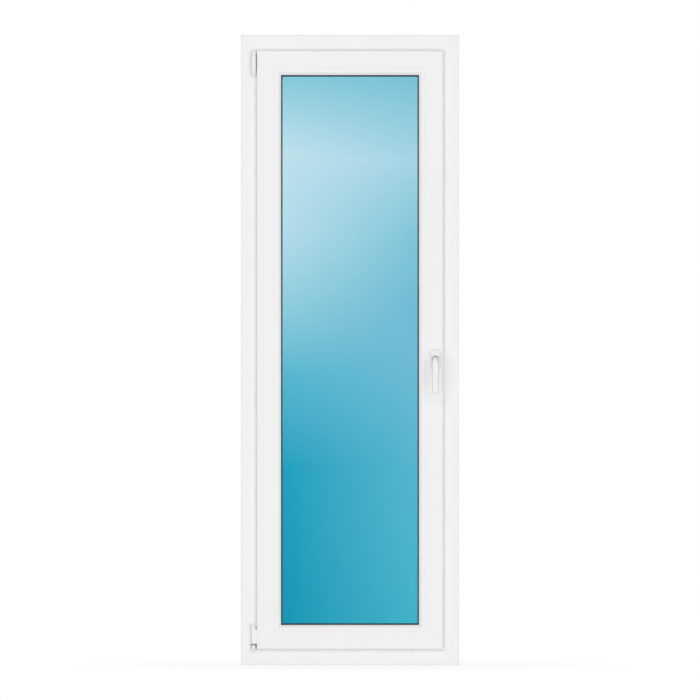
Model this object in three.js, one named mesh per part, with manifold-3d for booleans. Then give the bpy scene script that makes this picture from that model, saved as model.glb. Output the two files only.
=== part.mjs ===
// A tilt-and-turn casement window in white uPVC: one sash, hinged on the left as seen from the room.
// Millimetres. X runs to the right, Y from the room to the outdoors, Z up.
// The origin is the middle of the frame's bottom face, at half the frame's depth.
//
// Profiles are drawn as sections. A section's x is the inset, the distance in from the outer edge of
// the frame, and its y is the depth, which is the world's Y.
import * as THREE from "three";
import { mergeVertices } from "three/addons/utils/BufferGeometryUtils.js";
import Module from "manifold-3d";

const wasm = await Module();
wasm.setup();

// ---------------------------------------------------------------- driving dimensions

// The whole window
const WIDTH = 680;
const HEIGHT = 1965;
const FRAME_DEPTH = 70;
const SASH_DEPTH = 70;

// What shows from the room: frame face, then sash face with its bead, then glass
const FRAME_SIGHT = 50;
const SASH_SIGHT = 75;

// How the sash sits in the frame
const LIP_OVERLAP = 6; // sash lip over the frame's face
const AIR_GAP = 7; // between the sash's hardware groove side and the frame's rebate
const LIP_GAP = 3; // between the lip's back and the frame's face
const LIP_THICKNESS = 14;
const STOP_HEIGHT = 20; // the outdoor stop above the rebate
const STOP_THICKNESS = 13;
const GLAZING_REBATE = 20; // how far the outdoor flange and the beads stand over the rebate

// Sealed glass unit
const PANE = 4;
const CAVITY = 16;
const SEAL = 3; // glazing seals, pressed between glass and plastic
const SEAL_SHOWS = 4.4; // rubber that shows past the bead
const GLASS_PLAY = 5; // between the glass edge and the rebate

// Hardware
const HINGE_INSET = 39; // turning axis, in from the frame's left edge
const HINGE_STAND = 9; // turning axis, in front of the frame's face
const HINGE_COVER = 77; // height of the upper hinge
const TILT_Z = 60; // height of the tilting axis
const HANDLE_Z = 953;
const HANDLE_INSET = 24; // spindle, in from the sash's edge
const GROOVE_FROM_LIP = 13; // middle of the hardware groove, behind the lip's back
const TRAVEL = Math.PI * 7.5; // drive rods, for half a turn of the handle
const PINION_RADIUS = 7.5; // pitch radius
const PINION_TEETH = 15;

// Plastic walls and working gaps
const WALL = 2.8;
const WEB = 1.2;
const SEAM = 0.21; // mitred members stop this far short of the corner's diagonal
const GAP = 0.3; // between pieces that touch
const RUNNING_GAP = 0.3; // between pieces that turn or slide

// ---------------------------------------------------------------- places worked out from them

const half = { width: WIDTH / 2, depth: FRAME_DEPTH / 2 };
const frameFace = -half.depth;
const lipBack = frameFace - LIP_GAP;
const sashFace = lipBack - LIP_THICKNESS;
const sashBack = sashFace + SASH_DEPTH;
const stopFace = half.depth - STOP_THICKNESS;

const rebate = FRAME_SIGHT + LIP_OVERLAP; // inset of the frame's rebate
const grooveSide = rebate + AIR_GAP; // inset of the sash's hardware groove side
const sight = FRAME_SIGHT + SASH_SIGHT; // inset of the sight line
const glazingBase = sight - GLAZING_REBATE; // inset of the sash's glazing rebate
const glassEdge = glazingBase + GLASS_PLAY;

const flangeFace = sashBack - 11; // the outdoor glazing flange is 11 thick
const paneOutdoor = flangeFace - SEAL; // outdoor face of the glass unit
const paneRoom = paneOutdoor - 2 * PANE - CAVITY; // room face of the glass unit
const beadBack = paneRoom - SEAL;

const groove = lipBack + GROOVE_FROM_LIP; // Y of the hardware groove
const PLATE_WIDTH = 16;
const PLATE_THICK = 2.4;
const CHANNEL_WIDTH = 12;
const CHANNEL_DEPTH = 13;

const hinge = { x: -half.width + HINGE_INSET, y: frameFace - HINGE_STAND };
const handle = { x: half.width - FRAME_SIGHT - HANDLE_INSET, z: HANDLE_Z };
const sashTop = HEIGHT - FRAME_SIGHT;

// ---------------------------------------------------------------- colours

const material = (color, roughness, metalness = 0) =>
  new THREE.MeshStandardMaterial({ color, roughness, metalness });
const WHITE_PVC = material(0xf1f1f1, 0.35);
const WHITE_COVER = material(0xf4f4f4, 0.3);
const WHITE_PAINT = material(0xececec, 0.3);
const RUBBER = material(0x3a4a4f, 0.75);
const ZINC = material(0xb9bcc0, 0.35, 1);
const STEEL = material(0x8f9498, 0.45, 1);
const SPACER = material(0x2b2f33, 0.5);
const BLOCK = material(0x2f6fb0, 0.6);
const GLASS = new THREE.MeshStandardMaterial({
  color: 0x5fb4cf,
  roughness: 0.05,
  transparent: true,
  opacity: 0.5,
});

// ---------------------------------------------------------------- shape helpers

const ROUND_STEPS = 4; // segments in a rounded corner

// A closed shape through points [x, y] or [x, y, corner radius].
function outline(points, Kind = THREE.Shape) {
  const shape = new Kind();
  points.forEach(([x, y, radius = 0], i) => {
    const here = new THREE.Vector2(x, y);
    const before = new THREE.Vector2(...points.at(i - 1).slice(0, 2));
    const after = new THREE.Vector2(...points[(i + 1) % points.length].slice(0, 2));
    const start = before.sub(here).setLength(radius).add(here);
    const end = after.sub(here).setLength(radius).add(here);
    if (i === 0) shape.moveTo(start.x, start.y);
    else shape.lineTo(start.x, start.y);
    if (radius) shape.quadraticCurveTo(x, y, end.x, end.y);
  });
  shape.closePath();
  return shape;
}

const boxPoints = (x0, x1, y0, y1, radius = 0) => [
  [x0, y0, radius],
  [x1, y0, radius],
  [x1, y1, radius],
  [x0, y1, radius],
];

const AXES = {
  x: new THREE.Matrix4().set(0, 0, 1, 0, 1, 0, 0, 0, 0, 1, 0, 0, 0, 0, 0, 1), // shape is (y, z)
  y: new THREE.Matrix4().set(1, 0, 0, 0, 0, 0, -1, 0, 0, 1, 0, 0, 0, 0, 0, 1), // shape is (x, z)
  z: new THREE.Matrix4(), // shape is (x, y)
};

// A shape pushed along an axis, from one coordinate to the other.
function prism(shape, axis, from, to, curveSegments = ROUND_STEPS) {
  const depth = to - from;
  const geometry = new THREE.ExtrudeGeometry(shape, { depth, bevelEnabled: false, curveSegments });
  geometry.applyMatrix4(AXES[axis]);
  const start = axis === "y" ? to : from;
  const move = { x: 0, y: 0, z: 0, [axis]: start };
  return geometry.translate(move.x, move.y, move.z);
}

function box(x0, x1, y0, y1, z0, z1) {
  const geometry = new THREE.BoxGeometry(x1 - x0, y1 - y0, z1 - z0);
  return geometry.translate((x0 + x1) / 2, (y0 + y1) / 2, (z0 + z1) / 2);
}

// A round bar along an axis through the point (a, b) of the other two coordinates.
function rod(axis, a, b, from, to, radius, sides = 20) {
  const disc = new THREE.Shape().absarc(a, b, radius, 0, 2 * Math.PI);
  return prism(disc, axis, from, to, sides);
}

// One side of the rectangle whose edge is inset 0: the section runs along it, mitred at both ends.
// `over` makes it longer at each end.
function member(shape, side, over = 0) {
  const upright = side === "left" || side === "right";
  const along = upright ? HEIGHT : WIDTH;
  const geometry = new THREE.ExtrudeGeometry(shape, {
    depth: 1,
    bevelEnabled: false,
    curveSegments: ROUND_STEPS,
  });
  const position = geometry.attributes.position;
  for (let i = 0; i < position.count; i++) {
    const inset = position.getX(i);
    const start = inset + SEAM - over;
    const run = start + position.getZ(i) * (along - 2 * start);
    const x = { left: -half.width + inset, right: half.width - inset }[side] ?? -half.width + run;
    const z = { bottom: inset, top: HEIGHT - inset }[side] ?? run;
    position.setXYZ(i, x, position.getY(i), z);
  }
  return side === "right" || side === "bottom" ? turnedOut(geometry) : geometry;
}

// A mitred member with hollow chambers, open at the mitres.
function hollowMember({ points, chambers }, side) {
  const hollows = chambers.map((chamber) => member(outline(chamber), side, 1));
  return cut(member(outline(points), side), ...hollows);
}

// The right and bottom members are mirror images, so their triangles are turned round.
function turnedOut(geometry) {
  const position = geometry.attributes.position;
  const a = new THREE.Vector3();
  const b = new THREE.Vector3();
  for (let i = 0; i < position.count; i += 3) {
    a.fromBufferAttribute(position, i + 1);
    b.fromBufferAttribute(position, i + 2);
    position.setXYZ(i + 1, b.x, b.y, b.z);
    position.setXYZ(i + 2, a.x, a.y, a.z);
  }
  return geometry;
}

// A flat rectangular ring between two insets, from one depth to another.
function ring(outer, inner, y0, y1) {
  const rectangle = (inset) =>
    boxPoints(-half.width + inset, half.width - inset, inset, HEIGHT - inset);
  const shape = outline(rectangle(outer));
  shape.holes.push(outline(rectangle(inner), THREE.Path));
  return prism(shape, "y", y0, y1);
}

// ---------------------------------------------------------------- joining and cutting

function toSolid(geometry) {
  const bare = geometry.clone();
  bare.deleteAttribute("normal");
  bare.deleteAttribute("uv");
  const merged = mergeVertices(bare, 1e-3);
  return new wasm.Manifold(
    new wasm.Mesh({
      numProp: 3,
      vertProperties: new Float32Array(merged.attributes.position.array),
      triVerts: new Uint32Array(merged.index.array),
    }),
  );
}

function toGeometry(solid) {
  const mesh = solid.getMesh();
  const geometry = new THREE.BufferGeometry();
  geometry.setAttribute("position", new THREE.BufferAttribute(mesh.vertProperties, 3));
  geometry.setIndex(new THREE.BufferAttribute(mesh.triVerts, 1));
  geometry.computeVertexNormals();
  return geometry;
}

const join = (...pieces) =>
  toGeometry(pieces.map(toSolid).reduce((whole, piece) => whole.add(piece)));
const cut = (body, ...tools) =>
  toGeometry(tools.map(toSolid).reduce((rest, tool) => rest.subtract(tool), toSolid(body)));
const common = (a, b) => toGeometry(toSolid(a).intersect(toSolid(b)));

const casement = new THREE.Group();

function add(name, geometry, look) {
  const mesh = new THREE.Mesh(geometry, look);
  mesh.name = name;
  casement.add(mesh);
  return mesh;
}

// ---------------------------------------------------------------- the four sides

const SIDES = { left: "hinge_jamb", right: "lock_jamb", top: "head", bottom: "sill" };
const SASH_SIDES = {
  left: "hinge_stile",
  right: "lock_stile",
  top: "top_rail",
  bottom: "bottom_rail",
};

// Insets on the sash count from the sash's own edge here.
const onSash = (inset) => FRAME_SIGHT + inset;

// ---------------------------------------------------------------- frame

const CLIP_GROOVE = { depth: 2.5, width: 10, from: 14 }; // for wall anchors, on the frame's outer side
const FRAME_STEEL_CHAMBER = [6, 42, -20.8, 10];

const frameProfile = {
  points: [
    [0, frameFace, 1.5],
    [rebate, frameFace, 1.5],
    [rebate, stopFace, 1],
    [rebate + STOP_HEIGHT, stopFace, 1.5],
    [rebate + STOP_HEIGHT, half.depth, 3],
    [0, half.depth, 1.5],
    ...clipGroove(1),
    ...clipGroove(-1),
  ],
  chambers: [
    boxPoints(WALL + CLIP_GROOVE.depth, 28, frameFace + WALL, -22),
    boxPoints(28 + WEB, rebate - WALL, frameFace + WALL, -22),
    boxPoints(...FRAME_STEEL_CHAMBER),
    boxPoints(42 + WEB, rebate - WALL, -20.8, 10),
    boxPoints(WALL + CLIP_GROOVE.depth, rebate - WALL, 11.2, stopFace - WALL),
    boxPoints(WALL + CLIP_GROOVE.depth, 38, stopFace + 0.4, half.depth - WALL),
    boxPoints(38 + WEB, rebate + STOP_HEIGHT - WALL, stopFace + WALL, half.depth - WALL),
  ],
};

// The groove's corners, for the outdoor half (1) or the room half (-1) of the outer side.
function clipGroove(toward) {
  const near = CLIP_GROOVE.from;
  const far = CLIP_GROOVE.from + CLIP_GROOVE.width;
  const [first, second] = toward > 0 ? [far, near] : [-near, -far];
  return [
    [0, first],
    [CLIP_GROOVE.depth, first],
    [CLIP_GROOVE.depth, second],
    [0, second],
  ];
}

const DRAIN = { x: 170, z: 24, width: 32, height: 6 };
const CAP = { width: 44, height: 14, proud: 4 };

const drainSlots = [-1, 1].map((side) =>
  box(
    side * DRAIN.x - DRAIN.width / 2,
    side * DRAIN.x + DRAIN.width / 2,
    half.depth - 5,
    half.depth + 5,
    DRAIN.z - DRAIN.height / 2,
    DRAIN.z + DRAIN.height / 2,
  ),
);

for (const [side, name] of Object.entries(SIDES)) {
  const body = hollowMember(frameProfile, side);
  add(`frame_${name}`, side === "bottom" ? cut(body, ...drainSlots) : body, WHITE_PVC);
}

const STOP_SEAL = { from: 66, to: 73, stands: 3.4 };
add("frame_seal", ring(STOP_SEAL.from, STOP_SEAL.to, stopFace - STOP_SEAL.stands, stopFace - 0.2), RUBBER);

// A hood that keeps wind off each drain slot, open at its foot.
for (const [side, name] of [
  [-1, "hinge_side"],
  [1, "lock_side"],
]) {
  const x = side * DRAIN.x;
  const hood = outline([
    [half.depth + 0.1, DRAIN.z - CAP.height / 2],
    [half.depth + CAP.proud, DRAIN.z - CAP.height / 2],
    [half.depth + CAP.proud, DRAIN.z + CAP.height / 4, 1],
    [half.depth + 0.1, DRAIN.z + CAP.height / 2],
  ]);
  const body = prism(hood, "x", x - CAP.width / 2, x + CAP.width / 2);
  const mouth = box(
    x - CAP.width / 2 + 2,
    x + CAP.width / 2 - 2,
    half.depth - 1,
    half.depth + CAP.proud - 1.5,
    DRAIN.z - CAP.height,
    DRAIN.z + CAP.height / 4,
  );
  add(`drain_cap_${name}`, cut(body, mouth), WHITE_COVER);
}

// ---------------------------------------------------------------- sash

const SASH_STEEL_CHAMBER = [onSash(39.2), onSash(SASH_SIGHT - GLAZING_REBATE - WALL), -31.8, -1];

const sashProfile = {
  points: [
    [onSash(0), sashFace, 4],
    [glazingBase - GAP, sashFace, 0.8],
    [glazingBase - GAP, sashFace + 6],
    [glazingBase, sashFace + 8],
    [glazingBase, flangeFace],
    [sight, flangeFace, 1],
    [sight, sashBack - 2, 3],
    [sight - 6, sashBack, 2],
    [grooveSide, sashBack, 2],
    [grooveSide, groove + PLATE_WIDTH / 2 + 0.2],
    [grooveSide + PLATE_THICK + 0.2, groove + PLATE_WIDTH / 2 + 0.2],
    [grooveSide + PLATE_THICK + 0.2, groove + CHANNEL_WIDTH / 2],
    [grooveSide + CHANNEL_DEPTH, groove + CHANNEL_WIDTH / 2],
    [grooveSide + CHANNEL_DEPTH, groove - CHANNEL_WIDTH / 2],
    [grooveSide + PLATE_THICK + 0.2, groove - CHANNEL_WIDTH / 2],
    [grooveSide + PLATE_THICK + 0.2, groove - PLATE_WIDTH / 2 - 0.2],
    [grooveSide, groove - PLATE_WIDTH / 2 - 0.2],
    [grooveSide, lipBack, 1],
    [onSash(0), lipBack, 2],
  ],
  chambers: [
    boxPoints(onSash(WALL), onSash(36), sashFace + WALL, lipBack - WALL),
    boxPoints(onSash(36 + WEB), glazingBase - WALL - GAP, sashFace + WALL, -33),
    boxPoints(...SASH_STEEL_CHAMBER),
    boxPoints(onSash(16), onSash(38), -13.6, -1),
    boxPoints(onSash(16), onSash(34), SASH_STEEL_CHAMBER[3] + WEB, sashBack - WALL),
    boxPoints(onSash(34 + WEB), glazingBase - WALL, SASH_STEEL_CHAMBER[3] + WEB, sashBack - WALL),
    boxPoints(glazingBase, sight - WALL, flangeFace + WALL, sashBack - WALL),
  ],
};

const GEARBOX = { height: 84, depth: 24.2, width: 11.4, wall: 1.2 };
const SCREW_SPACING = 43;
const spindleHole = rod("y", handle.x, handle.z, sashFace - 1, groove, 6);
const screwHole = (side, radius, y0, y1) =>
  rod("y", handle.x, handle.z + (side * SCREW_SPACING) / 2, y0, y1, radius, 12);
const gearboxPocket = box(
  half.width - grooveSide - GEARBOX.depth - GAP,
  half.width - grooveSide + 1,
  groove - CHANNEL_WIDTH / 2,
  groove + CHANNEL_WIDTH / 2,
  handle.z - GEARBOX.height / 2 - GAP,
  handle.z + GEARBOX.height / 2 + GAP,
);

for (const [side, name] of Object.entries(SASH_SIDES)) {
  let body = hollowMember(sashProfile, side);
  if (side === "right") {
    const holes = [-1, 1].map((end) => screwHole(end, 2.8, sashFace - 1, groove));
    body = cut(body, gearboxPocket, spindleHole, ...holes);
  }
  add(`sash_${name}`, body, WHITE_PVC);
}

// ---------------------------------------------------------------- steel in the uprights

// A rectangular tube inside a chamber, along the upright on one side.
function reinforcement(chamber, side, from, to) {
  const [x0, x1, y0, y1] = chamber;
  const play = 0.5;
  const thick = 1.5;
  const inner = play + thick;
  const bar = cut(
    box(x0 + play, x1 - play, y0 + play, y1 - play, from, to),
    box(x0 + inner, x1 - inner, y0 + inner, y1 - inner, from - 1, to + 1),
  );
  if (side === "left") return bar.translate(-half.width, 0, 0);
  return bar.rotateZ(Math.PI).translate(half.width, y0 + y1, 0);
}

const STEEL_CLEAR = 12; // the steel stops this far short of the mitre
for (const [side, name] of [
  ["left", "hinge_side"],
  ["right", "lock_side"],
]) {
  const frameEnd = FRAME_STEEL_CHAMBER[1] + STEEL_CLEAR;
  const sashEnd = SASH_STEEL_CHAMBER[1] + STEEL_CLEAR;
  add(
    `frame_steel_${name}`,
    reinforcement(FRAME_STEEL_CHAMBER, side, frameEnd, HEIGHT - frameEnd),
    STEEL,
  );
  add(
    `sash_steel_${name}`,
    reinforcement(SASH_STEEL_CHAMBER, side, sashEnd, HEIGHT - sashEnd),
    STEEL,
  );
}

// ---------------------------------------------------------------- glass unit

function pane(y0) {
  return box(
    -half.width + glassEdge,
    half.width - glassEdge,
    y0,
    y0 + PANE,
    glassEdge,
    HEIGHT - glassEdge,
  );
}
add("glass_pane_room", pane(paneRoom), GLASS);
add("glass_pane_outdoor", pane(paneOutdoor - PANE), GLASS);

const SPACER_WIDTH = 7;
add(
  "glass_spacer",
  ring(glassEdge + 2, glassEdge + 2 + SPACER_WIDTH, paneRoom + PANE, paneOutdoor - PANE),
  SPACER,
);

const SEAL_WIDTH = 9; // of a glazing seal behind the sight line
const sealRing = (y0) => ring(sight - SEAL_WIDTH, sight + SEAL_SHOWS, y0, y0 + SEAL);
add("glazing_seal_room", sealRing(beadBack), RUBBER);
add("glazing_seal_outdoor", sealRing(paneOutdoor), RUBBER);

const BLOCK_LENGTH = 100;
for (const [side, name] of [
  [-1, "hinge_side"],
  [1, "lock_side"],
]) {
  const x = side * (half.width - glassEdge - BLOCK_LENGTH);
  add(
    `setting_block_${name}`,
    box(
      x - BLOCK_LENGTH / 2,
      x + BLOCK_LENGTH / 2,
      paneRoom,
      paneOutdoor,
      glazingBase + GAP,
      glassEdge - GAP / 2,
    ),
    BLOCK,
  );
}

// The beads' sloping edge runs down to the glass.
const BEAD_SLOPE = 8.5;
const beadFace = sashFace + 0.3;
const beadProfile = {
  points: [
    [glazingBase + 0.3, beadFace, 0.6],
    [sight - BEAD_SLOPE, beadFace, 3],
    [sight, beadFace + 6, 1.5],
    [sight, beadBack - 0.1],
    [glazingBase + 0.3, beadBack - 0.1],
  ],
  chambers: [
    [
      [glazingBase + 2.4, beadFace + 2.2],
      [sight - BEAD_SLOPE - 0.6, beadFace + 2.2],
      [sight - 2.2, beadFace + 7.2],
      [sight - 2.2, beadBack - 2.2],
      [glazingBase + 2.4, beadBack - 2.2],
    ],
  ],
};
for (const side of Object.keys(SIDES)) {
  const name = { left: "hinge_side", right: "lock_side" }[side] ?? side;
  add(`glazing_bead_${name}`, hollowMember(beadProfile, side), WHITE_PVC);
}

// ---------------------------------------------------------------- lip seal of the sash

// It leaves out the two places where hinge plates pass between the lip and the frame.
const LIP_SEAL = { from: 51, to: 55, thick: 1.9 };
const UPPER_HINGE_FOOT = sashTop - HINGE_COVER;
const LOWER_HINGE_TOP = 131;
{
  const { from, to, thick } = LIP_SEAL;
  const whole = ring(from, to, lipBack + 0.1, lipBack + thick);
  const hingeSide = box(
    -half.width,
    -half.width + 62,
    lipBack - 1,
    frameFace,
    0,
    HEIGHT - FRAME_SIGHT - 6,
  );
  add("sash_seal", cut(whole, hingeSide), RUBBER);
  const x = -half.width + from;
  add(
    "sash_seal_hinge_side",
    box(x, x + to - from, lipBack + 0.1, lipBack + thick, LOWER_HINGE_TOP + 4, UPPER_HINGE_FOOT - 4),
    RUBBER,
  );
}

// ---------------------------------------------------------------- drive rods, cams and face plates

const ROD = { width: 8.4, thick: 2, top: grooveSide + PLATE_THICK + 0.3 };
const CAM = { radius: 3, tip: rebate + 1.6 };
const SLOT_WIDTH = 2 * CAM.radius + 1;

// Each side's plate and rod are drawn along X, with their height up from inset 0, then laid on their side.
const LAY = {
  right: { turn: [0, -Math.PI / 2, 0], at: [half.width, 0, 0] },
  left: { turn: [0, Math.PI / 2, 0], at: [-half.width, 0, HEIGHT] },
  top: { turn: [0, Math.PI, 0], at: [0, 0, HEIGHT] },
  bottom: { turn: [0, 0, 0], at: [0, 0, 0] },
};
// The coordinate along the side, as it is drawn: the world's z or x, or its opposite.
const drawn = { right: (z) => z, left: (z) => HEIGHT - z, top: (x) => -x, bottom: (x) => x };

function lay(mesh, side) {
  mesh.rotation.set(...LAY[side].turn);
  mesh.position.set(...LAY[side].at);
  return mesh;
}

// A strip along X: y across, z up from the inset.
const strip = (x0, x1, width, z0, z1) =>
  box(Math.min(x0, x1), Math.max(x0, x1), groove - width / 2, groove + width / 2, z0, z1);

// A round locking cam, its axis along Z, sunk into the rod.
function cam(x) {
  const profile = [
    [0, CAM.tip],
    [CAM.radius - 0.6, CAM.tip],
    [CAM.radius, CAM.tip + 0.6],
    [CAM.radius, ROD.top + 1],
    [0, ROD.top + 1],
  ].map(([radius, height]) => new THREE.Vector2(radius, height));
  return new THREE.LatheGeometry(profile, 16)
    .rotateX(Math.PI / 2)
    .translate(x, groove, 0);
}

// The rods all go forward along the drawn X as the handle turns up.
const DRIVES = {
  right: { name: "lock_side", rod: [88, 1850], plate: [82, 1883], cams: [100, 678, 1700] },
  top: { name: "top", rod: [125, 255], plate: [-262, 262], cams: [200] },
  bottom: { name: "bottom", rod: [-250, 230], plate: [-215, 262], cams: [60] },
  left: { name: "hinge_side", rod: [420, 1560], plate: [150, 1820], cams: [678] },
};

const STAY_SLOT = { from: 46, to: 88, width: 9 }; // for the stay arm's pin, in the top plate

for (const [side, drive] of Object.entries(DRIVES)) {
  const to = drawn[side];
  const slots = drive.cams.map((place) => {
    const start = to(place) - SLOT_WIDTH / 2;
    const end = to(place) + TRAVEL + SLOT_WIDTH / 2;
    return strip(start, end, SLOT_WIDTH, grooveSide - 1, grooveSide + PLATE_THICK + 1);
  });
  if (side === "top") {
    const { from, to: end, width } = STAY_SLOT;
    slots.push(strip(to(from), to(end), width, grooveSide - 1, grooveSide + PLATE_THICK + 1));
  }
  const plate = strip(
    to(drive.plate[0]),
    to(drive.plate[1]),
    PLATE_WIDTH,
    grooveSide,
    grooveSide + PLATE_THICK,
  );
  lay(add(`face_plate_${drive.name}`, cut(plate, ...slots), ZINC), side);
}

// ---------------------------------------------------------------- gearbox in the lock stile

const PINION = {
  module: (2 * PINION_RADIUS) / PINION_TEETH,
  tip: PINION_RADIUS + 0.8,
  root: PINION_RADIUS - 1.1,
  thick: 8.4,
};
const PRESSURE_ANGLE = THREE.MathUtils.degToRad(20);
const BACKLASH = 0.22; // taken off each tooth's thickness

// A spur gear in the XZ plane, with a gap between teeth facing -X.
function pinionShape() {
  const base = PINION_RADIUS * Math.cos(PRESSURE_ANGLE);
  const pitch = (2 * Math.PI) / PINION_TEETH;
  const involute = (angle) => Math.tan(angle) - angle;
  const halfThick = (Math.PI * PINION.module) / 4 - BACKLASH / 2;
  const atPitch = halfThick / PINION_RADIUS + involute(PRESSURE_ANGLE);
  const flank = [];
  const steps = 4;
  for (let i = 0; i <= steps; i++) {
    const radius = base + ((PINION.tip - base) * i) / steps;
    flank.push([radius, atPitch - involute(Math.acos(base / radius))]);
  }
  const shape = new THREE.Shape();
  for (let tooth = 0; tooth < PINION_TEETH; tooth++) {
    const middle = Math.PI + (tooth + 0.5) * pitch;
    const side = [[PINION.root, flank[0][1]], ...flank];
    const points = [
      ...side.map(([radius, angle]) => [radius, middle - angle]),
      ...side.reverse().map(([radius, angle]) => [radius, middle + angle]),
    ];
    points.forEach(([radius, angle], i) => {
      const place = [radius * Math.cos(angle), radius * Math.sin(angle)];
      if (tooth === 0 && i === 0) shape.moveTo(...place);
      else shape.lineTo(...place);
    });
  }
  shape.closePath();
  return shape;
}

const SPINDLE = 7; // square
const squareHole = outline(
  boxPoints(
    -SPINDLE / 2 - RUNNING_GAP,
    SPINDLE / 2 + RUNNING_GAP,
    -SPINDLE / 2 - RUNNING_GAP,
    SPINDLE / 2 + RUNNING_GAP,
  ),
  THREE.Path,
);
{
  const shape = pinionShape();
  shape.holes.push(squareHole);
  const gear = prism(shape, "y", groove - PINION.thick / 2, groove + PINION.thick / 2);
  const mesh = add("drive_pinion", gear, STEEL);
  mesh.position.set(handle.x, 0, handle.z);
}

// The rack's teeth stand on the deep side of the pinion. Drawn in the XZ plane about the spindle.
const RACK = { tip: PINION_RADIUS - 0.8, root: PINION_RADIUS + 1.2, back: PINION_RADIUS + 3.7 };
const CARRIAGE = { above: 10, below: TRAVEL + 10.5, plate: 3.5 };
function rackShape() {
  const pitch = Math.PI * PINION.module;
  const slope = Math.tan(PRESSURE_ANGLE);
  const halfThick = pitch / 4 - BACKLASH / 2;
  const low = -Math.ceil(TRAVEL / pitch) - 1;
  const points = [[-RACK.back, -CARRIAGE.below - CARRIAGE.plate]];
  points.push([-RACK.root, -CARRIAGE.below - CARRIAGE.plate]);
  for (let tooth = low; tooth <= 2; tooth++) {
    const z = tooth * pitch;
    const foot = halfThick + (RACK.root - PINION_RADIUS) * slope;
    const crest = halfThick - (PINION_RADIUS - RACK.tip) * slope;
    points.push([-RACK.root, z - foot], [-RACK.tip, z - crest]);
    points.push([-RACK.tip, z + crest], [-RACK.root, z + foot]);
  }
  const top = CARRIAGE.above + CARRIAGE.plate;
  points.push([-RACK.root, top], [-RACK.back, top]);
  return outline(points);
}

// The lock-side rod carries the rack: two bridges reach round the pinion, which turns between them.
function lockRod() {
  const { rod: span, cams } = DRIVES.right;
  const rodOuter = half.width - ROD.top;
  const rodInner = rodOuter - ROD.thick;
  const y0 = groove - ROD.width / 2;
  const y1 = groove + ROD.width / 2;
  const back = handle.x - RACK.back;
  const aboveZ = handle.z + CARRIAGE.above;
  const belowZ = handle.z - CARRIAGE.below;
  const rack = prism(rackShape(), "y", y0, y1).translate(handle.x, 0, handle.z);
  const turned = cams.map((place) => cam(place).rotateY(-Math.PI / 2).translate(half.width, 0, 0));
  return join(
    box(rodInner, rodOuter, y0, y1, aboveZ, span[1]),
    box(rodInner, rodOuter, y0, y1, span[0], belowZ),
    box(back, rodOuter, y0, y1, aboveZ, aboveZ + CARRIAGE.plate),
    box(back, rodOuter, y0, y1, belowZ - CARRIAGE.plate, belowZ),
    rack,
    ...turned,
  );
}
add("drive_rod_lock_side", lockRod(), ZINC);

for (const side of ["top", "bottom", "left"]) {
  const drive = DRIVES[side];
  const to = drawn[side];
  const bar = strip(to(drive.rod[0]), to(drive.rod[1]), ROD.width, ROD.top, ROD.top + ROD.thick);
  const cams = drive.cams.map((place) => cam(to(place)));
  lay(add(`drive_rod_${drive.name}`, join(bar, ...cams), ZINC), side);
}

// The gearbox case is a trough, open towards the face plate, with slots in its ends for the rod.
{
  const x1 = half.width - ROD.top;
  const x0 = half.width - grooveSide - GEARBOX.depth;
  const { wall } = GEARBOX;
  const y = GEARBOX.width / 2;
  const z = GEARBOX.height / 2;
  const shell = box(x0, x1, groove - y, groove + y, handle.z - z, handle.z + z);
  const hollow = box(
    x0 + wall,
    x1 + 1,
    groove - y + wall,
    groove + y - wall,
    handle.z - z + wall,
    handle.z + z - wall,
  );
  const rodWay = box(
    x1 - ROD.thick - 0.6,
    x1 + 1,
    groove - y + wall,
    groove + y - wall,
    handle.z - z - 1,
    handle.z + z + 1,
  );
  const spindleWay = rod("y", handle.x, handle.z, groove - y - 1, groove + y + 1, 5.6);
  const holes = [-1, 1].map((end) => screwHole(end, 2.8, groove - y - 1, groove - y + wall + 0.1));
  add("gearbox_case", cut(shell, hollow, rodWay, spindleWay, ...holes), ZINC);
}

// ---------------------------------------------------------------- keeps on the frame

// A keep's hook stands between the locked cam and the room. A quarter turn of the handle frees the cam.
const KEEP = { ahead: 36, behind: 20, width: 19, base: 1.3, wall: 1.5, height: 3.4, hook: 5.5 };
function keep(x) {
  const w = KEEP.width / 2;
  const bottom = rebate + 0.1;
  const edge = groove - w;
  return join(
    box(x - KEEP.behind, x + KEEP.ahead, edge, groove + w, bottom, rebate + KEEP.base),
    box(x - KEEP.behind + 4, x + KEEP.hook, edge, edge + KEEP.wall, bottom, rebate + KEEP.height),
  );
}
const KEEP_NAMES = {
  right: ["lock_side_lower", "lock_side_middle", "lock_side_upper"],
  top: ["top"],
  bottom: ["bottom"],
  left: ["hinge_side"],
};
for (const [side, names] of Object.entries(KEEP_NAMES)) {
  names.forEach((name, i) => {
    const place = drawn[side](DRIVES[side].cams[i]);
    lay(add(`keep_${name}`, keep(place), ZINC), side);
  });
}

// ---------------------------------------------------------------- lower hinge: turns and tilts

const LEAF = { front: frameFace - 1.9, back: frameFace - 0.3 }; // plates between lip and frame
const KNUCKLE = 6; // radius of a bare hinge sleeve
const COVER = { outer: 8.2, inner: 6.4 };
const PIN = 2.5; // radius of the hinge pins
const LOWER_CUP = { from: 46, to: 51.4, radius: 8 };
const PIVOT = { from: 51.8, base: 55.1, to: 62, radius: 8, flat: 4.5 };
const SLEEVE_FOOT = 63.5;
const SLEEVE_TOP = 110;
const FORK = { inner: 4.8, outer: 7.2, reach: 4, from: 55.6 };
const TILT_PIN = 1.5;

const upright = (radius, from, to, sides = 24) => rod("z", hinge.x, hinge.y, from, to, radius, sides);
const hingeRebate = -half.width + rebate;

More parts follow.
